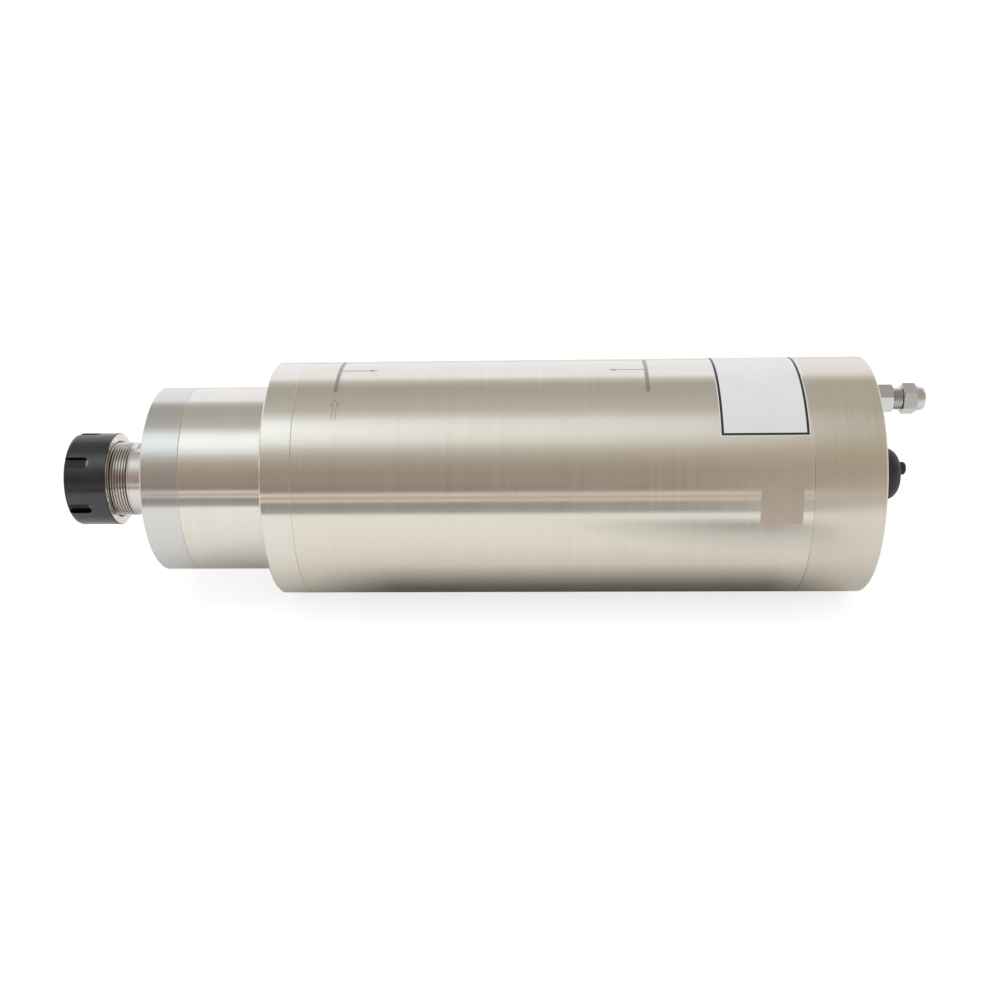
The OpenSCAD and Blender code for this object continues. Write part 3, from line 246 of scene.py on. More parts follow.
def ramp(tree, factor, stops):
    """A colour ramp through stops of a place and a grey or a colour."""
    node = add(tree, "ShaderNodeValToRGB")
    elements = node.color_ramp.elements
    while len(elements) > 1:
        elements.remove(elements[-1])
    for i, (place, value) in enumerate(stops):
        element = elements[0] if i == 0 else elements.new(place)
        element.position = place
        element.color = (*value, 1) if hasattr(value, "__len__") else (value, value, value, 1)
    tree.links.new(factor, node.inputs[0])
    return node.outputs["Color"]


def mix_colour(tree, factor, a, b):
    node = add(tree, "ShaderNodeMix", data_type="RGBA")
    for i, value in ((0, factor), (6, a), (7, b)):
        feed(tree, node.inputs[i], value)
    return node.outputs[2]


def scaled(rgb, k):
    return tuple(min(1.0, c * k) for c in rgb)


def stretched(tree, *scales):
    """Object coordinates multiplied by three scales, which are sockets or numbers."""
    place = add(tree, "ShaderNodeTexCoord")
    combine = add(tree, "ShaderNodeCombineXYZ")
    for socket, value in zip(combine.inputs, scales):
        feed(tree, socket, value)
    product = add(tree, "ShaderNodeVectorMath", operation="MULTIPLY")
    link_nodes(tree, (place.outputs["Object"], product.inputs[0]), (combine.outputs[0], product.inputs[1]))
    return product.outputs[0]


def noise(tree, scales, detail, rough=0.5, distortion=0.0):
    node = add(tree, "ShaderNodeTexNoise", Scale=1.0, Detail=detail, Roughness=rough,
               Distortion=distortion)
    tree.links.new(stretched(tree, *scales), node.inputs["Vector"])
    return node.outputs["Fac"]


# ---- Effects, each one group that many materials use ----

def new_group(name, inputs, outputs):
    """A shader node group with inputs (name, default, low, high) and named outputs, all numbers."""
    tree = bpy.data.node_groups.new(name, "ShaderNodeTree")
    for label, value, low, high in inputs:
        socket = tree.interface.new_socket(label, in_out="INPUT", socket_type="NodeSocketFloat")
        socket.default_value, socket.min_value, socket.max_value = value, low, high
    for label in outputs:
        tree.interface.new_socket(label, in_out="OUTPUT", socket_type="NodeSocketFloat")
    return tree, add(tree, "NodeGroupInput").outputs, add(tree, "NodeGroupOutput").inputs


def per_metre(tree, size):
    """How many times a size in millimetres goes into a metre."""
    return math_node(tree, "DIVIDE", 1000.0, size)


def make_turning_marks():
    """Fine marks that run round the spindle's axis, closely spaced along it."""
    tree, given, out = new_group("turning_marks", [("Spacing", 0.45, 0.01, 10), ("Waver", 12, 0, 200)],
                                 ["Height", "Tone"])
    count = per_metre(tree, given["Spacing"])
    fine = noise(tree, (count, given["Waver"], given["Waver"]), 0)
    wide = noise(tree, (times(tree, count, 0.09), 4, 4), 2)
    link_nodes(tree, (fine, out["Height"]), (times(tree, fine, 0.55, times(tree, wide, 0.45)), out["Tone"]))
    return tree


def make_handling():
    """Soft blotches, as handling and wiping leave on bare metal, and fine specks."""
    tree, given, out = new_group("handling", [("Size", 30, 0.5, 500), ("Specks", 1.5, 0.1, 50)],
                                 ["Blotches", "Specks"])
    blotch = noise(tree, (per_metre(tree, given["Size"]),) * 3, 3, 0.55, 0.4)
    speck = noise(tree, (per_metre(tree, given["Specks"]),) * 3, 2)
    link_nodes(tree, (times(tree, blotch, 2.2, -0.6, clamp=True), out["Blotches"]),
               (times(tree, speck, 6.0, -3.9, clamp=True), out["Specks"]))
    return tree


def make_grain():
    """Even fine grain, as on moulded rubber and plastic or a cast surface."""
    tree, given, out = new_group("grain", [("Size", 0.4, 0.05, 20)], ["Height"])
    tree.links.new(noise(tree, (per_metre(tree, given["Size"]),) * 3, 3, 0.6), out["Height"])
    return tree


def make_zone():
    """1 between two places along X and between two distances from an axis along X, else 0."""
    tree, given, out = new_group(
        "zone", [("From", 0, -500, 500), ("To", 1, -500, 500), ("Inner", 0, 0, 100), ("Outer", 100, 0, 100),
                 ("Soft", 0.1, 0.001, 20), ("Across", 0, -100, 100), ("Up", 0, -100, 100)], ["Mask"])
    split = add(tree, "ShaderNodeSeparateXYZ")
    tree.links.new(stretched(tree, 1000.0, 1000.0, 1000.0), split.inputs[0])
    x, y, z = split.outputs
    across = math_node(tree, "SUBTRACT", y, given["Across"])
    up = math_node(tree, "SUBTRACT", z, given["Up"])
    radius = math_node(tree, "SQRT", times(tree, across, across, times(tree, up, up)))
    mask = None
    for more, less in ((x, given["From"]), (given["To"], x), (radius, given["Inner"]),
                       (given["Outer"], radius)):
        over = math_node(tree, "DIVIDE", math_node(tree, "SUBTRACT", more, less), given["Soft"])
        part = math_node(tree, "ADD", over, 0.5, clamp=True)
        mask = part if mask is None else times(tree, mask, part)
    tree.links.new(mask, out["Mask"])
    return tree


EFFECTS = {"turning_marks": make_turning_marks, "handling": make_handling, "grain": make_grain,
           "zone": make_zone}


def effect(tree, name, **values):
    """Places an effect group in a material, with its own values."""
    group = bpy.data.node_groups.get(name) or EFFECTS[name]()
    return add(tree, "ShaderNodeGroup", node_tree=group, **values).outputs


def zone_mask(tree, zone, soft, across=0.0, up=0.0):
    sizes = dict(zip(("From", "To", "Inner", "Outer"), zone))
    return effect(tree, "zone", **sizes, Soft=soft, Across=across, Up=up)["Mask"]


# ---- Materials ----

def empty_tree(owner):
    owner.use_nodes = True
    owner.node_tree.nodes.clear()
    return owner.node_tree


def new_material(name, **values):
    """A material with a Principled shader, whose plain values are set on its own sockets."""
    material = bpy.data.materials.new(name)
    tree = empty_tree(material)
    out = add(tree, "ShaderNodeOutputMaterial")
    shader = add(tree, "ShaderNodeBsdfPrincipled", **values)
    tree.links.new(shader.outputs[0], out.inputs[0])
    return material, tree, shader


def surface(tree, shader, base, rough, height=None, depth=0.0):
    """Gives a shader its colour, its roughness and, from a height, a relief of some depth."""
    link_nodes(tree, (base, shader.inputs["Base Color"]), (rough, shader.inputs["Roughness"]))
    if height is not None:
        relief = add(tree, "ShaderNodeBump", Distance=depth * MM)
        link_nodes(tree, (height, relief.inputs["Height"]), (relief.outputs[0], shader.inputs["Normal"]))


def shade_thread_roots(tree, base, root_shade):
    """Darkens the roots of a thread as painted shade in its grooves. Its last argument is (zone, colour, axis
    across, axis up).
    """
    zone, dark, across, up = root_shade
    return mix_colour(tree, zone_mask(tree, zone, 0.35, across, up), base, dark)


def turned_steel(name, rgb, rough, spacing, depth=0.0008, tone=0.05, spread=0.9, root_shade=None):
    """Steel turned or ground round the axis: light spreads along the spindle and not round it."""
    material, tree, shader = new_material(
        name, **{"Metallic": 1.0, "Anisotropic": spread, "Anisotropic Rotation": 0.25})
    tangent = add(tree, "ShaderNodeTangent", direction_type="RADIAL", axis="X")
    tree.links.new(tangent.outputs[0], shader.inputs["Tangent"])
    marks = effect(tree, "turning_marks", Spacing=spacing)
    hands = effect(tree, "handling", Size=46.0)
    base = mix_colour(tree, marks["Tone"], scaled(rgb, 1 - tone), scaled(rgb, 1 + tone))
    base = mix_colour(tree, times(tree, hands["Blotches"], 0.12), base, scaled(rgb, 0.84))
    # painted shade in a thread's roots, where a zone for it is given
    if root_shade:
        base = shade_thread_roots(tree, base, root_shade)
    worn = times(tree, marks["Tone"], 0.10, rough - 0.05)
    surface(tree, shader, base, times(tree, hands["Blotches"], 0.05, worn), marks["Height"], depth)
    return material


def plain_metal(name, rgb, rough=0.25, tone=0.08, size=12.0, speck=0.9, depth=0.004, root_shade=None):
    """Cast, plated or machined metal with soft blotches and fine specks."""
    material, tree, shader = new_material(name, Metallic=1.0)
    hands = effect(tree, "handling", Size=size, Specks=speck)
    base = mix_colour(tree, hands["Blotches"], scaled(rgb, 1 + tone), scaled(rgb, 1 - tone))
    base = mix_colour(tree, times(tree, hands["Specks"], 0.25), base, scaled(rgb, 0.6))
    # painted shade in a thread's roots, where a zone for it is given
    if root_shade:
        base = shade_thread_roots(tree, base, root_shade)
    surface(tree, shader, base, times(tree, hands["Blotches"], 0.09, rough - 0.03), hands["Specks"], depth)
    return material


def moulded(name, rgb, rough=0.55, size=0.35, depth=0.02, tone=0.25, coat=0.0):
    """Rubber, plastic or resin with an even fine grain."""
    material, tree, shader = new_material(name, **{"Coat Weight": coat})
    grain = effect(tree, "grain", Size=size)["Height"]
    hands = effect(tree, "handling", Size=9.0)
    base = mix_colour(tree, hands["Blotches"], scaled(rgb, 1 + tone), scaled(rgb, 1 - tone))
    surface(tree, shader, base, times(tree, grain, 0.16, rough - 0.08), grain, depth)
    return material


def dress(material, *names):
    """Gives CAD nodes a finished material."""
    for name in names:
        slots = NODES[name].data.materials
        if len(slots) == 0:
            slots.append(material)
        for i in range(len(slots)):
            slots[i] = material


# ---- Meshes ----

def face_outwards(bm):
    bmesh.ops.recalc_face_normals(bm, faces=bm.faces)
    # a bored piece can come out inside out, and then its volume is negative
    if bm.calc_volume(signed=True) < 0:
        bmesh.ops.reverse_faces(bm, faces=bm.faces)


def write_mesh(bm, mesh):
    """Fills a mesh, smooth but for the edges where its faces meet at over 30 degrees."""
    bm.to_mesh(mesh)
    bm.free()
    for polygon in mesh.polygons:
        polygon.use_smooth = True
    mesh.set_sharp_from_angle(angle=math.radians(30))
    return mesh


def finish_mesh(bm, name):
    face_outwards(bm)
    return write_mesh(bm, bpy.data.meshes.new(name))


def new_piece(name, mesh, body, slot, *materials):
    """A finished piece at the origin, on its body."""
    for material in materials:
        mesh.materials.append(material)
    piece = bpy.data.objects.new(name, mesh)
    bpy.context.scene.collection.objects.link(piece)
    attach(piece, body)
    return piece


def make_thread_tree():
    """Geometry nodes: one ridge that climbs along X in a helix, with a flat-topped profile."""
    tree = bpy.data.node_groups.new("thread_ridge", "GeometryNodeTree")

    def socket(label, kind, value=None, in_out="INPUT"):
        made = tree.interface.new_socket(label, in_out=in_out, socket_type="NodeSocket" + kind)
        if value is not None:
            made.default_value = value

    socket("Geometry", "Geometry")
    for label, value in (("Root radius", 0.019), ("Pitch", 0.0015), ("Depth", 0.0009), ("Turns", 10.0),
                         ("Start", 0.0), ("Across", 0.0), ("Up", 0.0)):
        socket(label, "Float", value)
    socket("Points", "Int", 96)
    socket("Finish", "Material")
    socket("Geometry", "Geometry", in_out="OUTPUT")
    given, end = add(tree, "NodeGroupInput").outputs, add(tree, "NodeGroupOutput").inputs
    spiral = add(tree, "GeometryNodeCurveSpiral")
    for label, value in (
            ("Resolution", given["Points"]), ("Rotations", given["Turns"]),
            ("Start Radius", given["Root radius"]), ("End Radius", given["Root radius"]),
            ("Height", times(tree, given["Pitch"], given["Turns"]))):
        tree.links.new(value, spiral.inputs[label])
    upright = add(tree, "GeometryNodeSetCurveNormal", mode="Z_UP")
    profile = add(tree, "GeometryNodeCurvePrimitiveQuadrilateral", mode="POINTS")
    # the profile's X points at the spiral's axis
    sunk, crest = times(tree, given["Depth"], 0.08), times(tree, given["Depth"], -1.0)
    for number, (out, wide) in enumerate(((sunk, -0.44), (crest, -0.08), (crest, 0.08), (sunk, 0.44)), 1):
        corner = add(tree, "ShaderNodeCombineXYZ")
        link_nodes(tree, (out, corner.inputs[0]), (times(tree, given["Pitch"], wide), corner.inputs[1]),
                   (corner.outputs[0], profile.inputs[f"Point {number}"]))
    sweep = add(tree, "GeometryNodeCurveToMesh", **{"Fill Caps": True})
    place = add(tree, "GeometryNodeTransform", Rotation=(0, math.pi / 2, 0))
    offset = add(tree, "ShaderNodeCombineXYZ")
    real = add(tree, "GeometryNodeRealizeInstances")
    finish = add(tree, "GeometryNodeSetMaterial")
    link_nodes(tree, (spiral.outputs[0], upright.inputs["Curve"]), (upright.outputs[0], sweep.inputs["Curve"]),
               (profile.outputs[0], sweep.inputs["Profile Curve"]), (given["Start"], offset.inputs[0]),
               (given["Across"], offset.inputs[1]), (given["Up"], offset.inputs[2]),
               (offset.outputs[0], place.inputs["Translation"]), (sweep.outputs[0], place.inputs["Geometry"]),
               (place.outputs[0], real.inputs[0]), (real.outputs[0], finish.inputs["Geometry"]),
               (given["Finish"], finish.inputs["Material"]), (finish.outputs[0], end[0]))
    return tree


def run_tree(tree, values):
    """The mesh that a geometry-nodes tree makes from these inputs, with no modifier left."""
    carrier = bpy.data.objects.new("carrier", bpy.data.meshes.new("carrier"))
    bpy.context.scene.collection.objects.link(carrier)
    modifier = carrier.modifiers.new("made", "NODES")
    modifier.node_group = tree
    for item in tree.interface.items_tree:
        if item.in_out == "INPUT" and item.name in values:
            modifier[item.identifier] = values[item.name]
    depsgraph = bpy.context.evaluated_depsgraph_get()
    mesh = bpy.data.meshes.new_from_object(carrier.evaluated_get(depsgraph))
    bpy.data.objects.remove(carrier)
    return mesh


def threaded_copy(node, name, body, slot, material, band, pitch, depth, points, across=0.0, up=0.0):
    """A copy of a CAD node whose plain cylinder is cut to a thread. across and up give its axis."""
    r, x0, x1 = band
    off_radius, off_end = 0.02, 0.05
    bm = bmesh.new()
    bm.from_mesh(NODES[node].data)
    bmesh.ops.remove_doubles(bm, verts=bm.verts, dist=2e-6)

    def radius(v):
        return math.hypot(v.co.y / MM - across, v.co.z / MM - up)

    def in_band(v):
        return abs(radius(v) - r) < off_radius and x0 - off_end < v.co.x / MM < x1 + off_end

    wall = [f for f in bm.faces if all(in_band(v) for v in f.verts)]
    if not wall:
        raise RuntimeError(f"{node} has no cylinder of radius {r} mm from {x0} to {x1} mm")
    bmesh.ops.delete(bm, geom=wall, context="FACES")
    rims = [e for e in bm.edges if e.is_boundary]
    low, high = (pick(v.co.x for e in rims for v in e.verts) for pick in (min, max))
    root = r - depth
    grown = bmesh.ops.extrude_edge_only(bm, edges=rims)["geom"]
    for v in (g for g in grown if isinstance(g, bmesh.types.BMVert)):
        k = root / radius(v)
        v.co.y = (across + (v.co.y / MM - across) * k) * MM
        v.co.z = (up + (v.co.z / MM - up) * k) * MM
    bmesh.ops.bridge_loops(bm, edges=[e for e in bm.edges if e.is_boundary])
    mesh = finish_mesh(bm, name)
    if "custom_normal" in mesh.attributes:
        mesh.attributes.remove(mesh.attributes["custom_normal"])
    ridge = run_tree(bpy.data.node_groups.get("thread_ridge") or make_thread_tree(), {
        "Root radius": root * MM, "Pitch": pitch * MM, "Depth": depth * MM, "Across": across * MM,
        "Turns": (high - low) / (pitch * MM) - 0.9, "Start": low + 0.45 * pitch * MM, "Up": up * MM,
        "Points": points, "Finish": material})
    both = bmesh.new()
    both.from_mesh(ridge)
    face_outwards(both)
    both.from_mesh(mesh)
    bpy.data.meshes.remove(ridge)
    write_mesh(both, mesh)
    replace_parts(new_piece(name, mesh, body, slot, material), node)


def wrapped_plate(bm, outline):
    """Adds a thin closed plate that follows the body. The outline's corners are (x, angle)."""
    finest = 1.5
    corners = []
    for (xa, aa), (xb, ab) in zip(outline, outline[1:] + outline[:1]):
        parts = max(1, math.ceil(abs(ab - aa) / finest))
        corners += [(xa + (xb - xa) * i / parts, aa + (ab - aa) * i / parts) for i in range(parts)]
    outer, inner = ([bm.verts.new(on_cylinder(x, a, r)) for x, a in corners]
                    for r in (PLATE_OUTER, PLATE_INNER))
    for i in range(len(corners)):
        bm.faces.new((outer[i - 1], outer[i], inner[i], inner[i - 1]))
    bm.faces.new(outer)
    bm.faces.new(inner[::-1])


def strip_plate(bm, x0, x1, a0, a1, index=0):
    """Adds a closed rectangular plate that follows the body, split finely round it."""
    finest = 1.2
    x0, x1 = sorted((x0, x1))
    parts = max(1, math.ceil(abs(a1 - a0) / finest))
    rows = [[bm.verts.new(on_cylinder(x, a0 + (a1 - a0) * i / parts, r)) for x, r in
             ((x0, PLATE_OUTER), (x1, PLATE_OUTER), (x1, PLATE_INNER), (x0, PLATE_INNER))]
            for i in range(parts + 1)]
    made = [bm.faces.new((lower[i - 1], lower[i], upper[i], upper[i - 1]))
            for lower, upper in zip(rows, rows[1:]) for i in range(4)]
    for face in made + [bm.faces.new(rows[0]), bm.faces.new(rows[-1][::-1])]:
        face.material_index = index


# ---- The studio's light: places in metres on the table, angles in degrees in the room ----

DARK_TABLE = 0.42  # how bright the dark parts of the table are, next to its bright part
# Where each part of the table ends: its shade starts at the first place and is full at the second
TABLE_FRONT = (-0.62, -0.46)
BRIGHT_END, BRIGHT_SLANT = (0.14, 0.18), 0.218  # the bright part before the rear cap, and its slant
# UNDER_SIDES, UNDER_FRONT and UNDER_REAR bound the painted shadow under the spindle, in the table's colour
UNDER_SIDES, UNDER_FRONT, UNDER_REAR = (0.075, 0.04), (-0.10, -0.055), (0.18, 0.145)
SPOT, SPOT_HALF, SPOT_REAR = (0.16, -0.225), (0.12, 0.14), (0.208, 0.188)
GLOW = 0.75  # light that the floor gives by itself to the camera, so that it looks white
FLOOR_SIZE, FLOOR_GAP = 14, 0.1 * MM
KEY_PLACE, KEY_SIZE = (-0.6, 0.05, 1.4), (1.4, 1.0)

# What the room shows in reflections, by height angle from the front horizon over the top to the rear
ROOM_START, ROOM_SPAN = -20, 220
ROOM = [
    (-20, (0.36, 0.34, 0.32)), (0, (0.34, 0.31, 0.29)), (2.6, (0.35, 0.32, 0.30)), (3.6, (0.98, 0.88, 0.79)),
    (4.5, (0.84, 0.75, 0.67)), (6.5, (0.42, 0.36, 0.33)), (8.2, (0.62, 0.53, 0.46)), (9.3, (0.95, 0.82, 0.73)),
    (10.5, (0.86, 0.74, 0.65)), (12, (0.42, 0.37, 0.33)), (13.6, (0.31, 0.27, 0.25)), (17.5, (0.31, 0.28, 0.26)),
    (21, (0.37, 0.31, 0.27)), (30, (0.38, 0.31, 0.26)), (40, (0.44, 0.39, 0.34)), (50, (0.56, 0.52, 0.47)),
    (60, (0.60, 0.57, 0.51)), (90, (0.60, 0.58, 0.54)), (100, (0.56, 0.53, 0.49)), (112, (0.49, 0.47, 0.43)),
    (122, (0.46, 0.45, 0.41)), (128, (0.50, 0.48, 0.45)), (133, (0.62, 0.59, 0.56)), (136.5, (0.76, 0.75, 0.73)),
    (139, (0.97, 0.97, 1.0)), (142, (1.0, 1.01, 1.06)), (180, (1.0, 1.01, 1.07)), (200, (1.0, 1.01, 1.07)),
]
ROOM_END = [
    (-20, (0.66, 0.62, 0.57)), (0, (0.66, 0.62, 0.56)), (12, (0.64, 0.58, 0.52)), (20, (0.59, 0.53, 0.46)),
    (30, (0.53, 0.47, 0.39)), (50, (0.51, 0.45, 0.36)), (65, (0.48, 0.43, 0.35)), (80, (0.47, 0.42, 0.36)),
    (95, (0.51, 0.46, 0.40)), (110, (0.56, 0.52, 0.46)), (128, (0.53, 0.50, 0.45)), (133, (0.66, 0.63, 0.59)),
    (137, (0.93, 0.93, 0.93)), (142, (1.0, 1.01, 1.06)), (200, (1.0, 1.01, 1.07)),
]
SOFTBOX = [
    (46, 0.0), (52, (0.06, 0.07, 0.08)), (60, (0.36, 0.42, 0.48)), (67, (0.54, 0.62, 0.70)),
    (75, (0.58, 0.67, 0.76)), (82, (0.48, 0.56, 0.64)), (89, (0.14, 0.17, 0.20)), (95, 0.0), (200, 0.0),
]
# By the reflection's turn along X, from 0 at the nose's side to 1 at the rear's: how bright the
# softbox is, and where the room's end begins
REACH = [(0.0, 0.85), (0.15, 1.0), (0.2, 1.05), (0.25, 1.25), (0.32, 0.76), (0.42, 0.54), (0.62, 0.55),
         (0.67, 0.62), (0.69, 0.5), (0.72, 0.0), (1.0, 0.0)]
AT_END = [(0.685, 0.0), (0.725, 1.0)]


# ---- Operators ----

class BuildStudio(bpy.types.Operator):
    """Sets the camera, the floor, the lamp and the light from all round"""
    bl_idname = "spindle.build_studio"
    bl_label = "Studio"

    def execute(self, context):
        scene, s = context.scene, context.scene.spindle_studio
        for step in (self.camera, self.floor, self.lamp, self.world):
            step(scene, s)
        scene.view_settings.view_transform = "Standard"
        return {"FINISHED"}

    def camera(self, scene, s):
        sin, cos = math.sin, math.cos
        ahead = Vector((sin(s.yaw) * cos(s.pitch), cos(s.yaw) * cos(s.pitch), -sin(s.pitch)))
        level = Vector((cos(s.yaw), -sin(s.yaw), 0))
        above = level.cross(ahead)
        right = level * cos(s.roll) + above * sin(s.roll)
        up = above * cos(s.roll) - level * sin(s.roll)
        tilt = Matrix.Rotation(-s.raised, 3, "X")
        axes = Matrix((tilt @ right, tilt @ up, tilt @ -ahead)).transposed()
        data = bpy.data.cameras.new("camera")
        data.lens, data.sensor_width, data.sensor_fit = s.lens, 36, "HORIZONTAL"
        data.clip_start, data.clip_end = 0.01, 50
        camera = bpy.data.objects.new("camera", data)
        place = Vector((s.along, -s.distance * cos(s.raised), s.distance * sin(s.raised)))
        camera.matrix_world = Matrix.Translation(place) @ axes.to_4x4()
        scene.collection.objects.link(camera)
        scene.camera = camera

    def floor(self, scene, s):
        """White to the camera, and to all else a table with dark parts and a painted shadow under the spindle.
        """
        material = bpy.data.materials.new("floor")
        tree = empty_tree(material)
        out = add(tree, "ShaderNodeOutputMaterial")
        matt = add(tree, "ShaderNodeBsdfDiffuse", Color=(*scaled(s.floor, 0.5), 1))
        place = add(tree, "ShaderNodeTexCoord").outputs["Object"]
        split = add(tree, "ShaderNodeSeparateXYZ")
        x, y = split.outputs[:2]
        # the table's dark colour, also used for the painted shadow under the spindle
        dark = scaled(s.floor, DARK_TABLE)
        bright = math_node(tree, "MAXIMUM", rise(tree, y, *TABLE_FRONT),
                           rise(tree, times(tree, y, BRIGHT_SLANT, x), *BRIGHT_END))
        table = mix_colour(tree, bright, dark, s.floor)
        # painted shadow: the table's colour is darkened in the strip under the spindle
        ends = times(tree, rise(tree, x, *UNDER_FRONT), rise(tree, x, *UNDER_REAR))
        sides = rise(tree, math_node(tree, "ABSOLUTE", y), *UNDER_SIDES)
        table = mix_colour(tree, times(tree, sides, ends), table, dark)
        # a dark spot in front of the sticker, which shows low on the sleeve
        offset = add(tree, "ShaderNodeVectorMath", operation="MULTIPLY_ADD")
        offset.inputs[1].default_value = (1 / SPOT_HALF[0], 1 / SPOT_HALF[1], 0)
        offset.inputs[2].default_value = (-SPOT[0] / SPOT_HALF[0], -SPOT[1] / SPOT_HALF[1], 0)
        away = add(tree, "ShaderNodeVectorMath", operation="LENGTH")
        spot = math_node(tree, "SUBTRACT", 1.0, away.outputs["Value"], clamp=True)
        table = mix_colour(tree, times(tree, spot, rise(tree, x, *SPOT_REAR)), table, dark)
        mirrored = add(tree, "ShaderNodeBsdfDiffuse")
        lit = add(tree, "ShaderNodeEmission", Color=(1, 1, 1, 1), Strength=GLOW)
        both = add(tree, "ShaderNodeAddShader")
        rays = add(tree, "ShaderNodeLightPath")
        choice = add(tree, "ShaderNodeMixShader")
        link_nodes(tree, (place, split.inputs[0]), (place, offset.inputs[0]),
                   (offset.outputs[0], away.inputs[0]), (table, mirrored.inputs["Color"]),
                   (matt.outputs[0], both.inputs[0]), (lit.outputs[0], both.inputs[1]),
                   (rays.outputs["Is Camera Ray"], choice.inputs[0]), (mirrored.outputs[0], choice.inputs[1]),
                   (both.outputs[0], choice.inputs[2]), (choice.outputs[0], out.inputs[0]))
        bm = bmesh.new()
        bmesh.ops.create_grid(bm, x_segments=4, y_segments=4, size=FLOOR_SIZE)
        mesh = write_mesh(bm, bpy.data.meshes.new("floor"))
        mesh.transform(Matrix.Translation((0, 0, -BODY_R * MM - FLOOR_GAP)))
        mesh.materials.append(material)
        floor = bpy.data.objects.new("floor", mesh)
        scene.collection.objects.link(floor)

    def lamp(self, scene, s):
        data = bpy.data.lights.new("key", "AREA")
        data.shape, data.energy = "RECTANGLE", s.key
        data.size, data.size_y = KEY_SIZE
        lamp = bpy.data.objects.new("key", data)
        place = Vector(KEY_PLACE)
        lamp.matrix_world = Matrix.Translation(place) @ (-place).to_track_quat("-Z", "Y").to_matrix().to_4x4()
        lamp.visible_glossy = False
        scene.collection.objects.link(lamp)

    def world(self, scene, s):
        """White to the camera, even light for matt surfaces, and a softbox studio in reflections."""
        world = bpy.data.worlds.new("studio")
        tree = empty_tree(world)
        out = add(tree, "ShaderNodeOutputWorld")
        place = add(tree, "ShaderNodeTexCoord")
        split = add(tree, "ShaderNodeSeparateXYZ")
        tree.links.new(place.outputs["Generated"], split.inputs[0])
        x, y, z = split.outputs
        angle = times(tree, math_node(tree, "ARCTAN2", z, times(tree, y, -1.0)), 180 / math.pi)
        # 0 is the front horizon and 180 the rear one, and below the rear one it goes on past 180
        turned = math_node(tree, "DIVIDE", math_node(tree, "ADD", angle, -ROOM_START), ROOM_SPAN)
        behind = math_node(tree, "LESS_THAN", angle, -90.0)
        height = times(tree, behind, 360 / ROOM_SPAN, turned)
        side = math_node(tree, "ADD", x, 0.5, clamp=True)
        room, room_end, softbox = (
            ramp(tree, height, [((at - ROOM_START) / ROOM_SPAN, value) for at, value in stops])
            for stops in (ROOM, ROOM_END, SOFTBOX))
        lit = add(tree, "ShaderNodeVectorMath", operation="MULTIPLY")
        total = add(tree, "ShaderNodeVectorMath", operation="ADD")
        mirrored = add(tree, "ShaderNodeBackground")
        even = add(tree, "ShaderNodeBackground", Color=(1, 1, 1, 1), Strength=s.fill)
        white = add(tree, "ShaderNodeBackground", Color=(1, 1, 1, 1), Strength=1.0)
        rays = add(tree, "ShaderNodeLightPath")
        shiny = math_node(tree, "MAXIMUM", rays.outputs["Is Glossy Ray"], rays.outputs["Is Transmission Ray"])
        first, second = add(tree, "ShaderNodeMixShader"), add(tree, "ShaderNodeMixShader")
        link_nodes(tree, (softbox, lit.inputs[0]), (ramp(tree, side, REACH), lit.inputs[1]),
                   (mix_colour(tree, ramp(tree, side, AT_END), room, room_end), total.inputs[0]),
                   (lit.outputs[0], total.inputs[1]), (total.outputs[0], mirrored.inputs["Color"]),
                   (shiny, first.inputs[0]), (even.outputs[0], first.inputs[1]),
                   (mirrored.outputs[0], first.inputs[2]), (rays.outputs["Is Camera Ray"], second.inputs[0]),
                   (first.outputs[0], second.inputs[1]), (white.outputs[0], second.inputs[2]),
                   (second.outputs[0], out.inputs[0]))
        scene.world = world


class FinishHousing(bpy.types.Operator):
    """Finishes the sleeve, the nose, its cap and the rear cap in turned and ground steel"""
    bl_idname = "spindle.finish_housing"
    bl_label = "Housing"

    def execute(self, context):
        s = context.scene.spindle_steel
        grain = s.grain / MM
        dress(turned_steel("ground_sleeve", s.sleeve, s.sleeve_rough, grain), "housing_sleeve")
        dress(turned_steel("polished_nose", s.nose, s.nose_rough, grain, depth=0.0006, tone=0.04),
              "front_housing")
        dress(turned_steel("nose_cap_steel", s.nose_cap, s.cap_rough, grain, depth=0.001),
              "nose_cap", "labyrinth_ring")
        dress(turned_steel("rear_cap_steel", s.rear_cap, s.rear_rough, grain * 1.3, depth=0.0014, spread=0.6),
              "rear_cap")
        return {"FINISHED"}


class FinishShaft(bpy.types.Operator):
    """Cuts the nut's thread on the shaft and finishes the shaft"""
    bl_idname = "spindle.finish_shaft"
    bl_label = "Shaft and thread"

    def execute(self, context):
        scene = context.scene
        c, s, t = scene.spindle_colours, scene.spindle_steel, scene.spindle_threads
        # the thread's roots are darkened as painted shade
        steel = turned_steel("shaft_steel", s.shaft, 0.18, s.grain / MM, tone=0.06, spread=0.5,
                             root_shade=(NUT_THREAD_ROOT, c.nut_thread_shade, 0, 0))
        threaded_copy("spindle_shaft", "shaft_threaded", "shaft", "machined_steel", steel, NUT_BAND,
                      *in_mm(t.nut_pitch, t.nut_depth), t.turn_points)
        return {"FINISHED"}


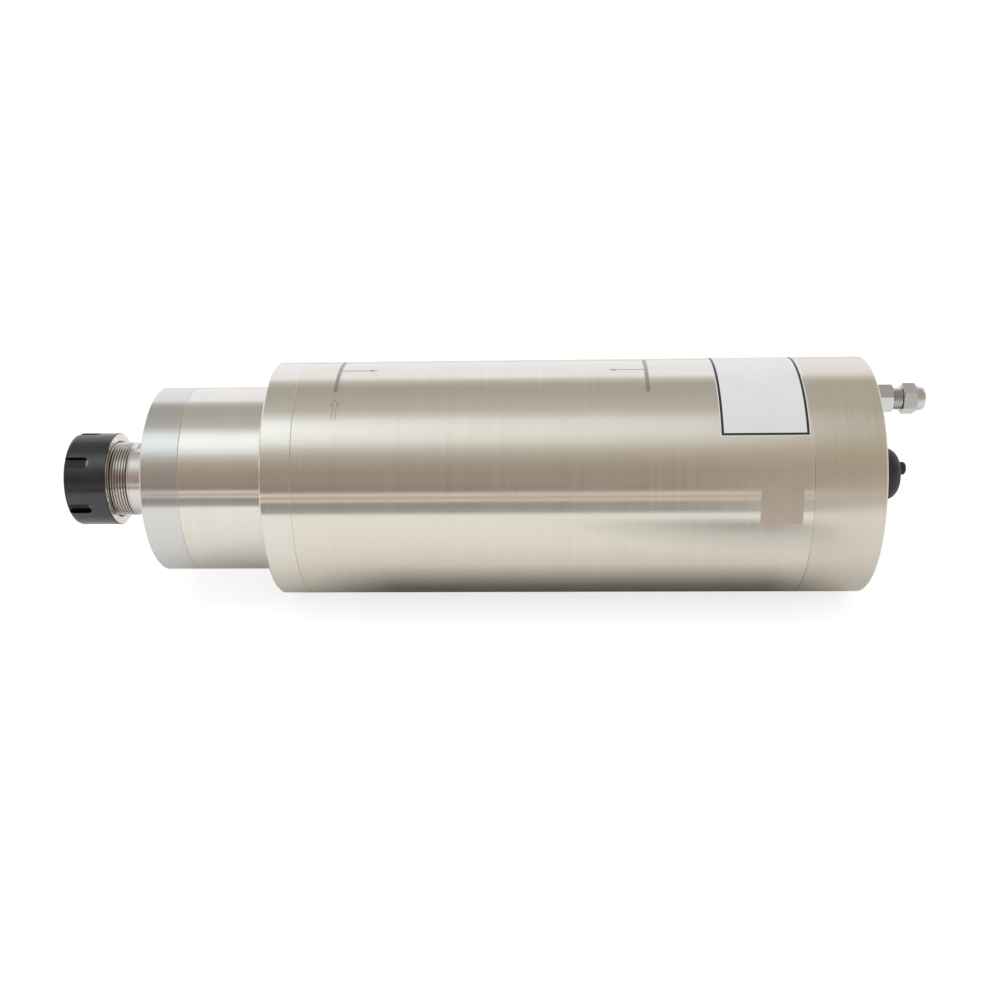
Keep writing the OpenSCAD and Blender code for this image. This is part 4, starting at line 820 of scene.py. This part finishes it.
class FinishNut(bpy.types.Operator):
    """Gives the collet nut its black oxide, with bare steel on its rear face, worn slot ends and painted shade
    inside its slots
    """
    bl_idname = "spindle.finish_nut"
    bl_label = "Collet nut and collet"

    def execute(self, context):
        c, s = context.scene.spindle_colours, context.scene.spindle_steel
        material, tree, shader = new_material("black_oxide", Metallic=1.0)
        hands = effect(tree, "handling", Size=14.0, Specks=0.7)
        marks = effect(tree, "turning_marks", Spacing=0.35)
        worn = times(tree, zone_mask(tree, NUT_SLOT_ENDS, 0.5),
                     times(tree, hands["Specks"], 0.8, 0.25, clamp=True))
        bare = math_node(tree, "MAXIMUM", zone_mask(tree, NUT_REAR_FACE, 0.25), worn)
        black = mix_colour(tree, hands["Blotches"], scaled(c.oxide, 0.85), scaled(c.oxide, 1.1))
        black = mix_colour(tree, times(tree, marks["Tone"], 0.3), black, scaled(c.oxide, 1.4))
        # painted shade: the insides of the slots are darkened
        black = mix_colour(tree, zone_mask(tree, NUT_SLOTS, 0.2), black, scaled(c.oxide, 0.4))
        rough = times(tree, bare, -0.12, times(tree, hands["Blotches"], 0.08, 0.2))
        surface(tree, shader, mix_colour(tree, bare, black, s.shaft), rough, marks["Height"], 0.002)
        dress(material, "collet_nut")
        dress(plain_metal("collet_steel", scaled(s.shaft, 0.96), 0.24, size=6.0), "collet")
        return {"FINISHED"}


class FinishFittings(bpy.types.Operator):
    """Cuts the water fittings' threads and plates them in nickel"""
    bl_idname = "spindle.finish_fittings"
    bl_label = "Water fittings"

    def execute(self, context):
        c, t = context.scene.spindle_colours, context.scene.spindle_threads
        plate = {"rgb": c.nickel, "rough": 0.09, "tone": 0.05, "size": 5.0, "depth": 0.002}
        nickel = plain_metal("nickel_plate", **plate)
        for number, angle in enumerate(FITTING_ANGLES, 1):
            axis = on_cylinder(0, angle, FITTING_R) / MM
            # each body's thread roots are darkened as painted shade
            body = plain_metal(f"nozzle_body_{number}_nickel", **plate,
                               root_shade=(FITTING_THREAD_ROOT, c.fitting_thread_shade, axis.y, axis.z))
            threaded_copy(f"nozzle_body_{number}", f"nozzle_body_{number}_threaded", "housing", "nickel", body,
                          FITTING_BAND, *in_mm(t.fitting_pitch, t.fitting_depth), t.turn_points // 2,
                          axis.y, axis.z)
            dress(nickel, f"nozzle_nut_{number}")
            dress(plain_metal(f"ferrule_{number}_brass", c.brass, 0.25, size=3.0), f"nozzle_ferrule_{number}")
        dress(plain_metal("washer_copper", scaled(c.copper, 1.1), 0.3, size=4.0), "nozzle_washers")
        return {"FINISHED"}


class FinishSocket(bpy.types.Operator):
    """Finishes the cable socket, its contacts, its gasket and the rubber dust cap"""
    bl_idname = "spindle.finish_socket"
    bl_label = "Cable socket"

    def execute(self, context):
        c, t = context.scene.spindle_colours, context.scene.spindle_threads
        shell = plain_metal("socket_shell_plate", scaled(c.nickel, 0.95), 0.22, size=8.0)
        threaded_copy("socket_shell", "socket_shell_threaded", "housing", "nickel", shell, SOCKET_BAND,
                      *in_mm(t.socket_pitch, t.socket_depth), t.turn_points)
        dress(moulded("dust_cap_rubber", c.rubber, 0.52, size=0.5, depth=0.03), "dust_cap")
        dress(moulded("gasket_rubber", scaled(c.rubber, 1.3), 0.65), "socket_gasket", "lead_grommet")
        dress(moulded("insert_resin", c.insert, 0.4, tone=0.1), "socket_insert")
        dress(plain_metal("gold_contact", c.gold, 0.2, size=2.0), "socket_pins")
        return {"FINISHED"}


class FinishScrews(bpy.types.Operator):
    """Finishes the socket-head screws"""
    bl_idname = "spindle.finish_screws"
    bl_label = "Screws"

    def execute(self, context):
        c = context.scene.spindle_colours
        dress(plain_metal("screw_black", c.black_screw, 0.34, tone=0.15, size=3.0),
              "nose_cap_screws", "rear_cap_screws", "flange_screws", "bearing_cover_screws")
        dress(plain_metal("screw_bright", c.bright_screw, 0.26, size=3.0), "socket_screws")
        return {"FINISHED"}


class FinishInside(bpy.types.Operator):
    """Finishes the bearings, the motor, the water jacket and the other pieces inside"""
    bl_idname = "spindle.finish_inside"
    bl_label = "Inside"

    def execute(self, context):
        c, s = context.scene.spindle_colours, context.scene.spindle_steel
        race = turned_steel("bearing_race", scaled(s.nose, 0.98), 0.15, 0.3, depth=0.0006, tone=0.04)
        ball = plain_metal("bearing_ball", c.ball, 0.10, tone=0.03, size=3.0, depth=0.0005)
        resin = moulded("cage_resin", c.cage, 0.5, tone=0.12)
        for place in ("front_bearing_a", "front_bearing_b", "rear_bearing_a", "rear_bearing_b"):
            dress(race, f"{place}_outer_ring", f"{place}_inner_ring")
            dress(ball, f"{place}_balls")
            dress(resin, f"{place}_cage")
        dress(race, "front_outer_spacer", "front_inner_spacer")
        dress(turned_steel("jacket_aluminium", c.aluminium, 0.3, 0.9, depth=0.004), "water_jacket")
        dress(plain_metal("cast_aluminium", scaled(c.aluminium, 0.86), 0.45, size=8.0, depth=0.02),
              "rear_housing", "rear_bearing_cover")
        dress(plain_metal("lamination", c.lamination, 0.42, size=5.0), "stator_core", "rotor_core")
        dress(moulded("winding_enamel", c.copper, 0.32, size=0.8, depth=0.12, coat=0.6), "stator_winding")
        dress(plain_metal("rotor_cage_aluminium", c.aluminium, 0.35, size=6.0), "rotor_cage")
        dress(turned_steel("lock_nut_steel", scaled(s.shaft, 0.9), 0.3, 0.5), "rear_lock_nut")
        dress(plain_metal("spring_steel", c.spring, 0.3, size=5.0), "preload_springs")
        dress(moulded("seal_rubber", c.rubber, 0.45), "nose_cap_oring", "jacket_oring", "spigot_orings",
              "rear_housing_oring", "port_seals")
        dress(moulded("lead_jacket", c.lead, 0.45, tone=0.1), "phase_leads")
        return {"FINISHED"}


class EtchMarks(bpy.types.Operator):
    """Etches the bars and arrows of the clamping zone and the arrow that gives the turning sense"""
    bl_idname = "spindle.etch_marks"
    bl_label = "Etched marks"

    def execute(self, context):
        m = context.scene.spindle_marks
        material, tree, shader = new_material("etched_dark", Metallic=1.0)
        grain = effect(tree, "grain", Size=0.3)["Height"]
        surface(tree, shader, mix_colour(tree, grain, scaled(m.ink, 0.85), scaled(m.ink, 1.15)),
                times(tree, grain, 0.1, 0.3))
        bm = bmesh.new()
        front, rear, width = in_mm(m.front_bar, m.rear_bar, m.bar_width)
        for x, angles in ((front, FRONT_BAR_ANGLES), (rear, REAR_BAR_ANGLES)):
            strip_plate(bm, x, x + width, *angles)
        for tail, start, sense, (reach, angle) in ((front + width, front, 1, FRONT_ARROW),
                                                   (rear, rear, -1, REAR_ARROW)):
            tip = start + reach * sense
            neck = tip - ARROW_HEAD * sense
            strip_plate(bm, tail, neck, angle - ARROW_LINE_HALF, angle + ARROW_LINE_HALF)
            wrapped_plate(bm, [(neck, angle - ARROW_HEAD_HALF), (tip, angle), (neck, angle + ARROW_HEAD_HALF)])
        self.turning_arrow(bm)
        new_piece("etched_marks", finish_mesh(bm, "etched_marks"), "housing", "ground_steel", material)
        return {"FINISHED"}

    def turning_arrow(self, bm):
        """An open arrow of thin lines, with its tip towards larger angles."""
        left, right, tail, head, tip = -81.0, -76.4, 53.8, 61.8, 65.7
        middle, half, line = (left + right) / 2, 0.95, 0.3
        for x in (middle - half, middle + half):
            strip_plate(bm, x - line / 2, x + line / 2, tail, head + 0.6)
        for x, sense in ((left, 1), (right, -1)):
            wrapped_plate(bm, [(x, head), (x + 0.42 * sense, head), (middle + 0.1 * sense, tip - 0.55),
                               (middle, tip)])
            strip_plate(bm, x, middle - half * sense, head, head + 0.3)


class StickLabel(bpy.types.Operator):
    """Puts the blank white sticker with its black border, and the cleaned patch, on the body"""
    bl_idname = "spindle.stick_label"
    bl_label = "Sticker and patch"

    def execute(self, context):
        m = context.scene.spindle_marks
        self.sticker(m)
        self.patch(m)
        return {"FINISHED"}

    def sticker(self, m):
        white, tree, shader = new_material("sticker_white")
        grain = effect(tree, "grain", Size=1.2)["Height"]
        hands = effect(tree, "handling", Size=11.0)
        surface(tree, shader, mix_colour(tree, hands["Blotches"], m.label_white, scaled(m.label_white, 0.95)),
                times(tree, grain, 0.1, 0.3), grain, 0.004)
        black = moulded("sticker_line", m.label_line, 0.35, size=0.6, depth=0.002)
        x0, x1 = in_mm(m.label_front, m.label_rear)
        low, turn = math.degrees(m.label_low), math.degrees(1 / BODY_R)
        steps = (0, STICKER_MARGIN, STICKER_MARGIN + STICKER_BORDER)
        xs = [x0 + step for step in steps] + [x1 - step for step in steps[::-1]]
        edge = [low + step * turn for step in steps]
        angles = edge + [180 - a for a in edge[::-1]]
        bm = bmesh.new()
        for i in range(5):
            for j in range(5):
                ringed = (i in (1, 3) and 1 <= j <= 3) or (j in (1, 3) and 1 <= i <= 3)
                strip_plate(bm, xs[i], xs[i + 1], angles[j], angles[j + 1], int(ringed))
        new_piece("body_sticker", finish_mesh(bm, "body_sticker"), "housing", "insulator", white, black)

    def patch(self, m):
        pale, tree, shader = new_material("cleaned_patch", Metallic=1.0)
        hands = effect(tree, "handling", Size=5.0)
        surface(tree, shader, mix_colour(tree, hands["Blotches"], scaled(m.patch, 0.95), scaled(m.patch, 1.05)),
                times(tree, hands["Blotches"], 0.08, 0.56))
        bm = bmesh.new()
        strip_plate(bm, *PATCH)
        new_piece("cleaned_patch", finish_mesh(bm, "cleaned_patch"), "housing", "ground_steel", pale)


class SpindlePanel(bpy.types.Panel):
    """Lists the steps that finish the spindle"""
    bl_idname = "VIEW3D_PT_spindle"
    bl_label = "Motor spindle"
    bl_space_type = "VIEW_3D"
    bl_region_type = "UI"
    bl_category = "Spindle"

    def draw(self, context):
        for operator in OPERATORS:
            self.layout.operator(operator.bl_idname)
        for name, group in SETTINGS.items():
            box = self.layout.box()
            box.label(text=group.__doc__)
            settings = getattr(context.scene, name)
            for key in group.__annotations__:
                box.prop(settings, key)


OPERATORS = (BuildStudio, FinishHousing, FinishShaft, FinishNut, FinishFittings, FinishSocket, FinishScrews,
             FinishInside, EtchMarks, StickLabel)
SETTINGS = {"spindle_steel": SteelLook, "spindle_threads": ThreadSizes, "spindle_marks": MarkSizes,
            "spindle_colours": FinishColours, "spindle_studio": StudioSettings}


def register():
    for name, group in SETTINGS.items():
        bpy.utils.register_class(group)
        setattr(bpy.types.Scene, name, PointerProperty(type=group))
    for operator in OPERATORS:
        bpy.utils.register_class(operator)
    bpy.utils.register_class(SpindlePanel)


def unregister():
    bpy.utils.unregister_class(SpindlePanel)
    for operator in reversed(OPERATORS):
        bpy.utils.unregister_class(operator)
    for name, group in reversed(SETTINGS.items()):
        delattr(bpy.types.Scene, name)
        bpy.utils.unregister_class(group)


def main():
    register()
    for operator in OPERATORS:
        group, name = operator.bl_idname.split(".")
        getattr(getattr(bpy.ops, group), name)()


if __name__ == "__main__":
    main()
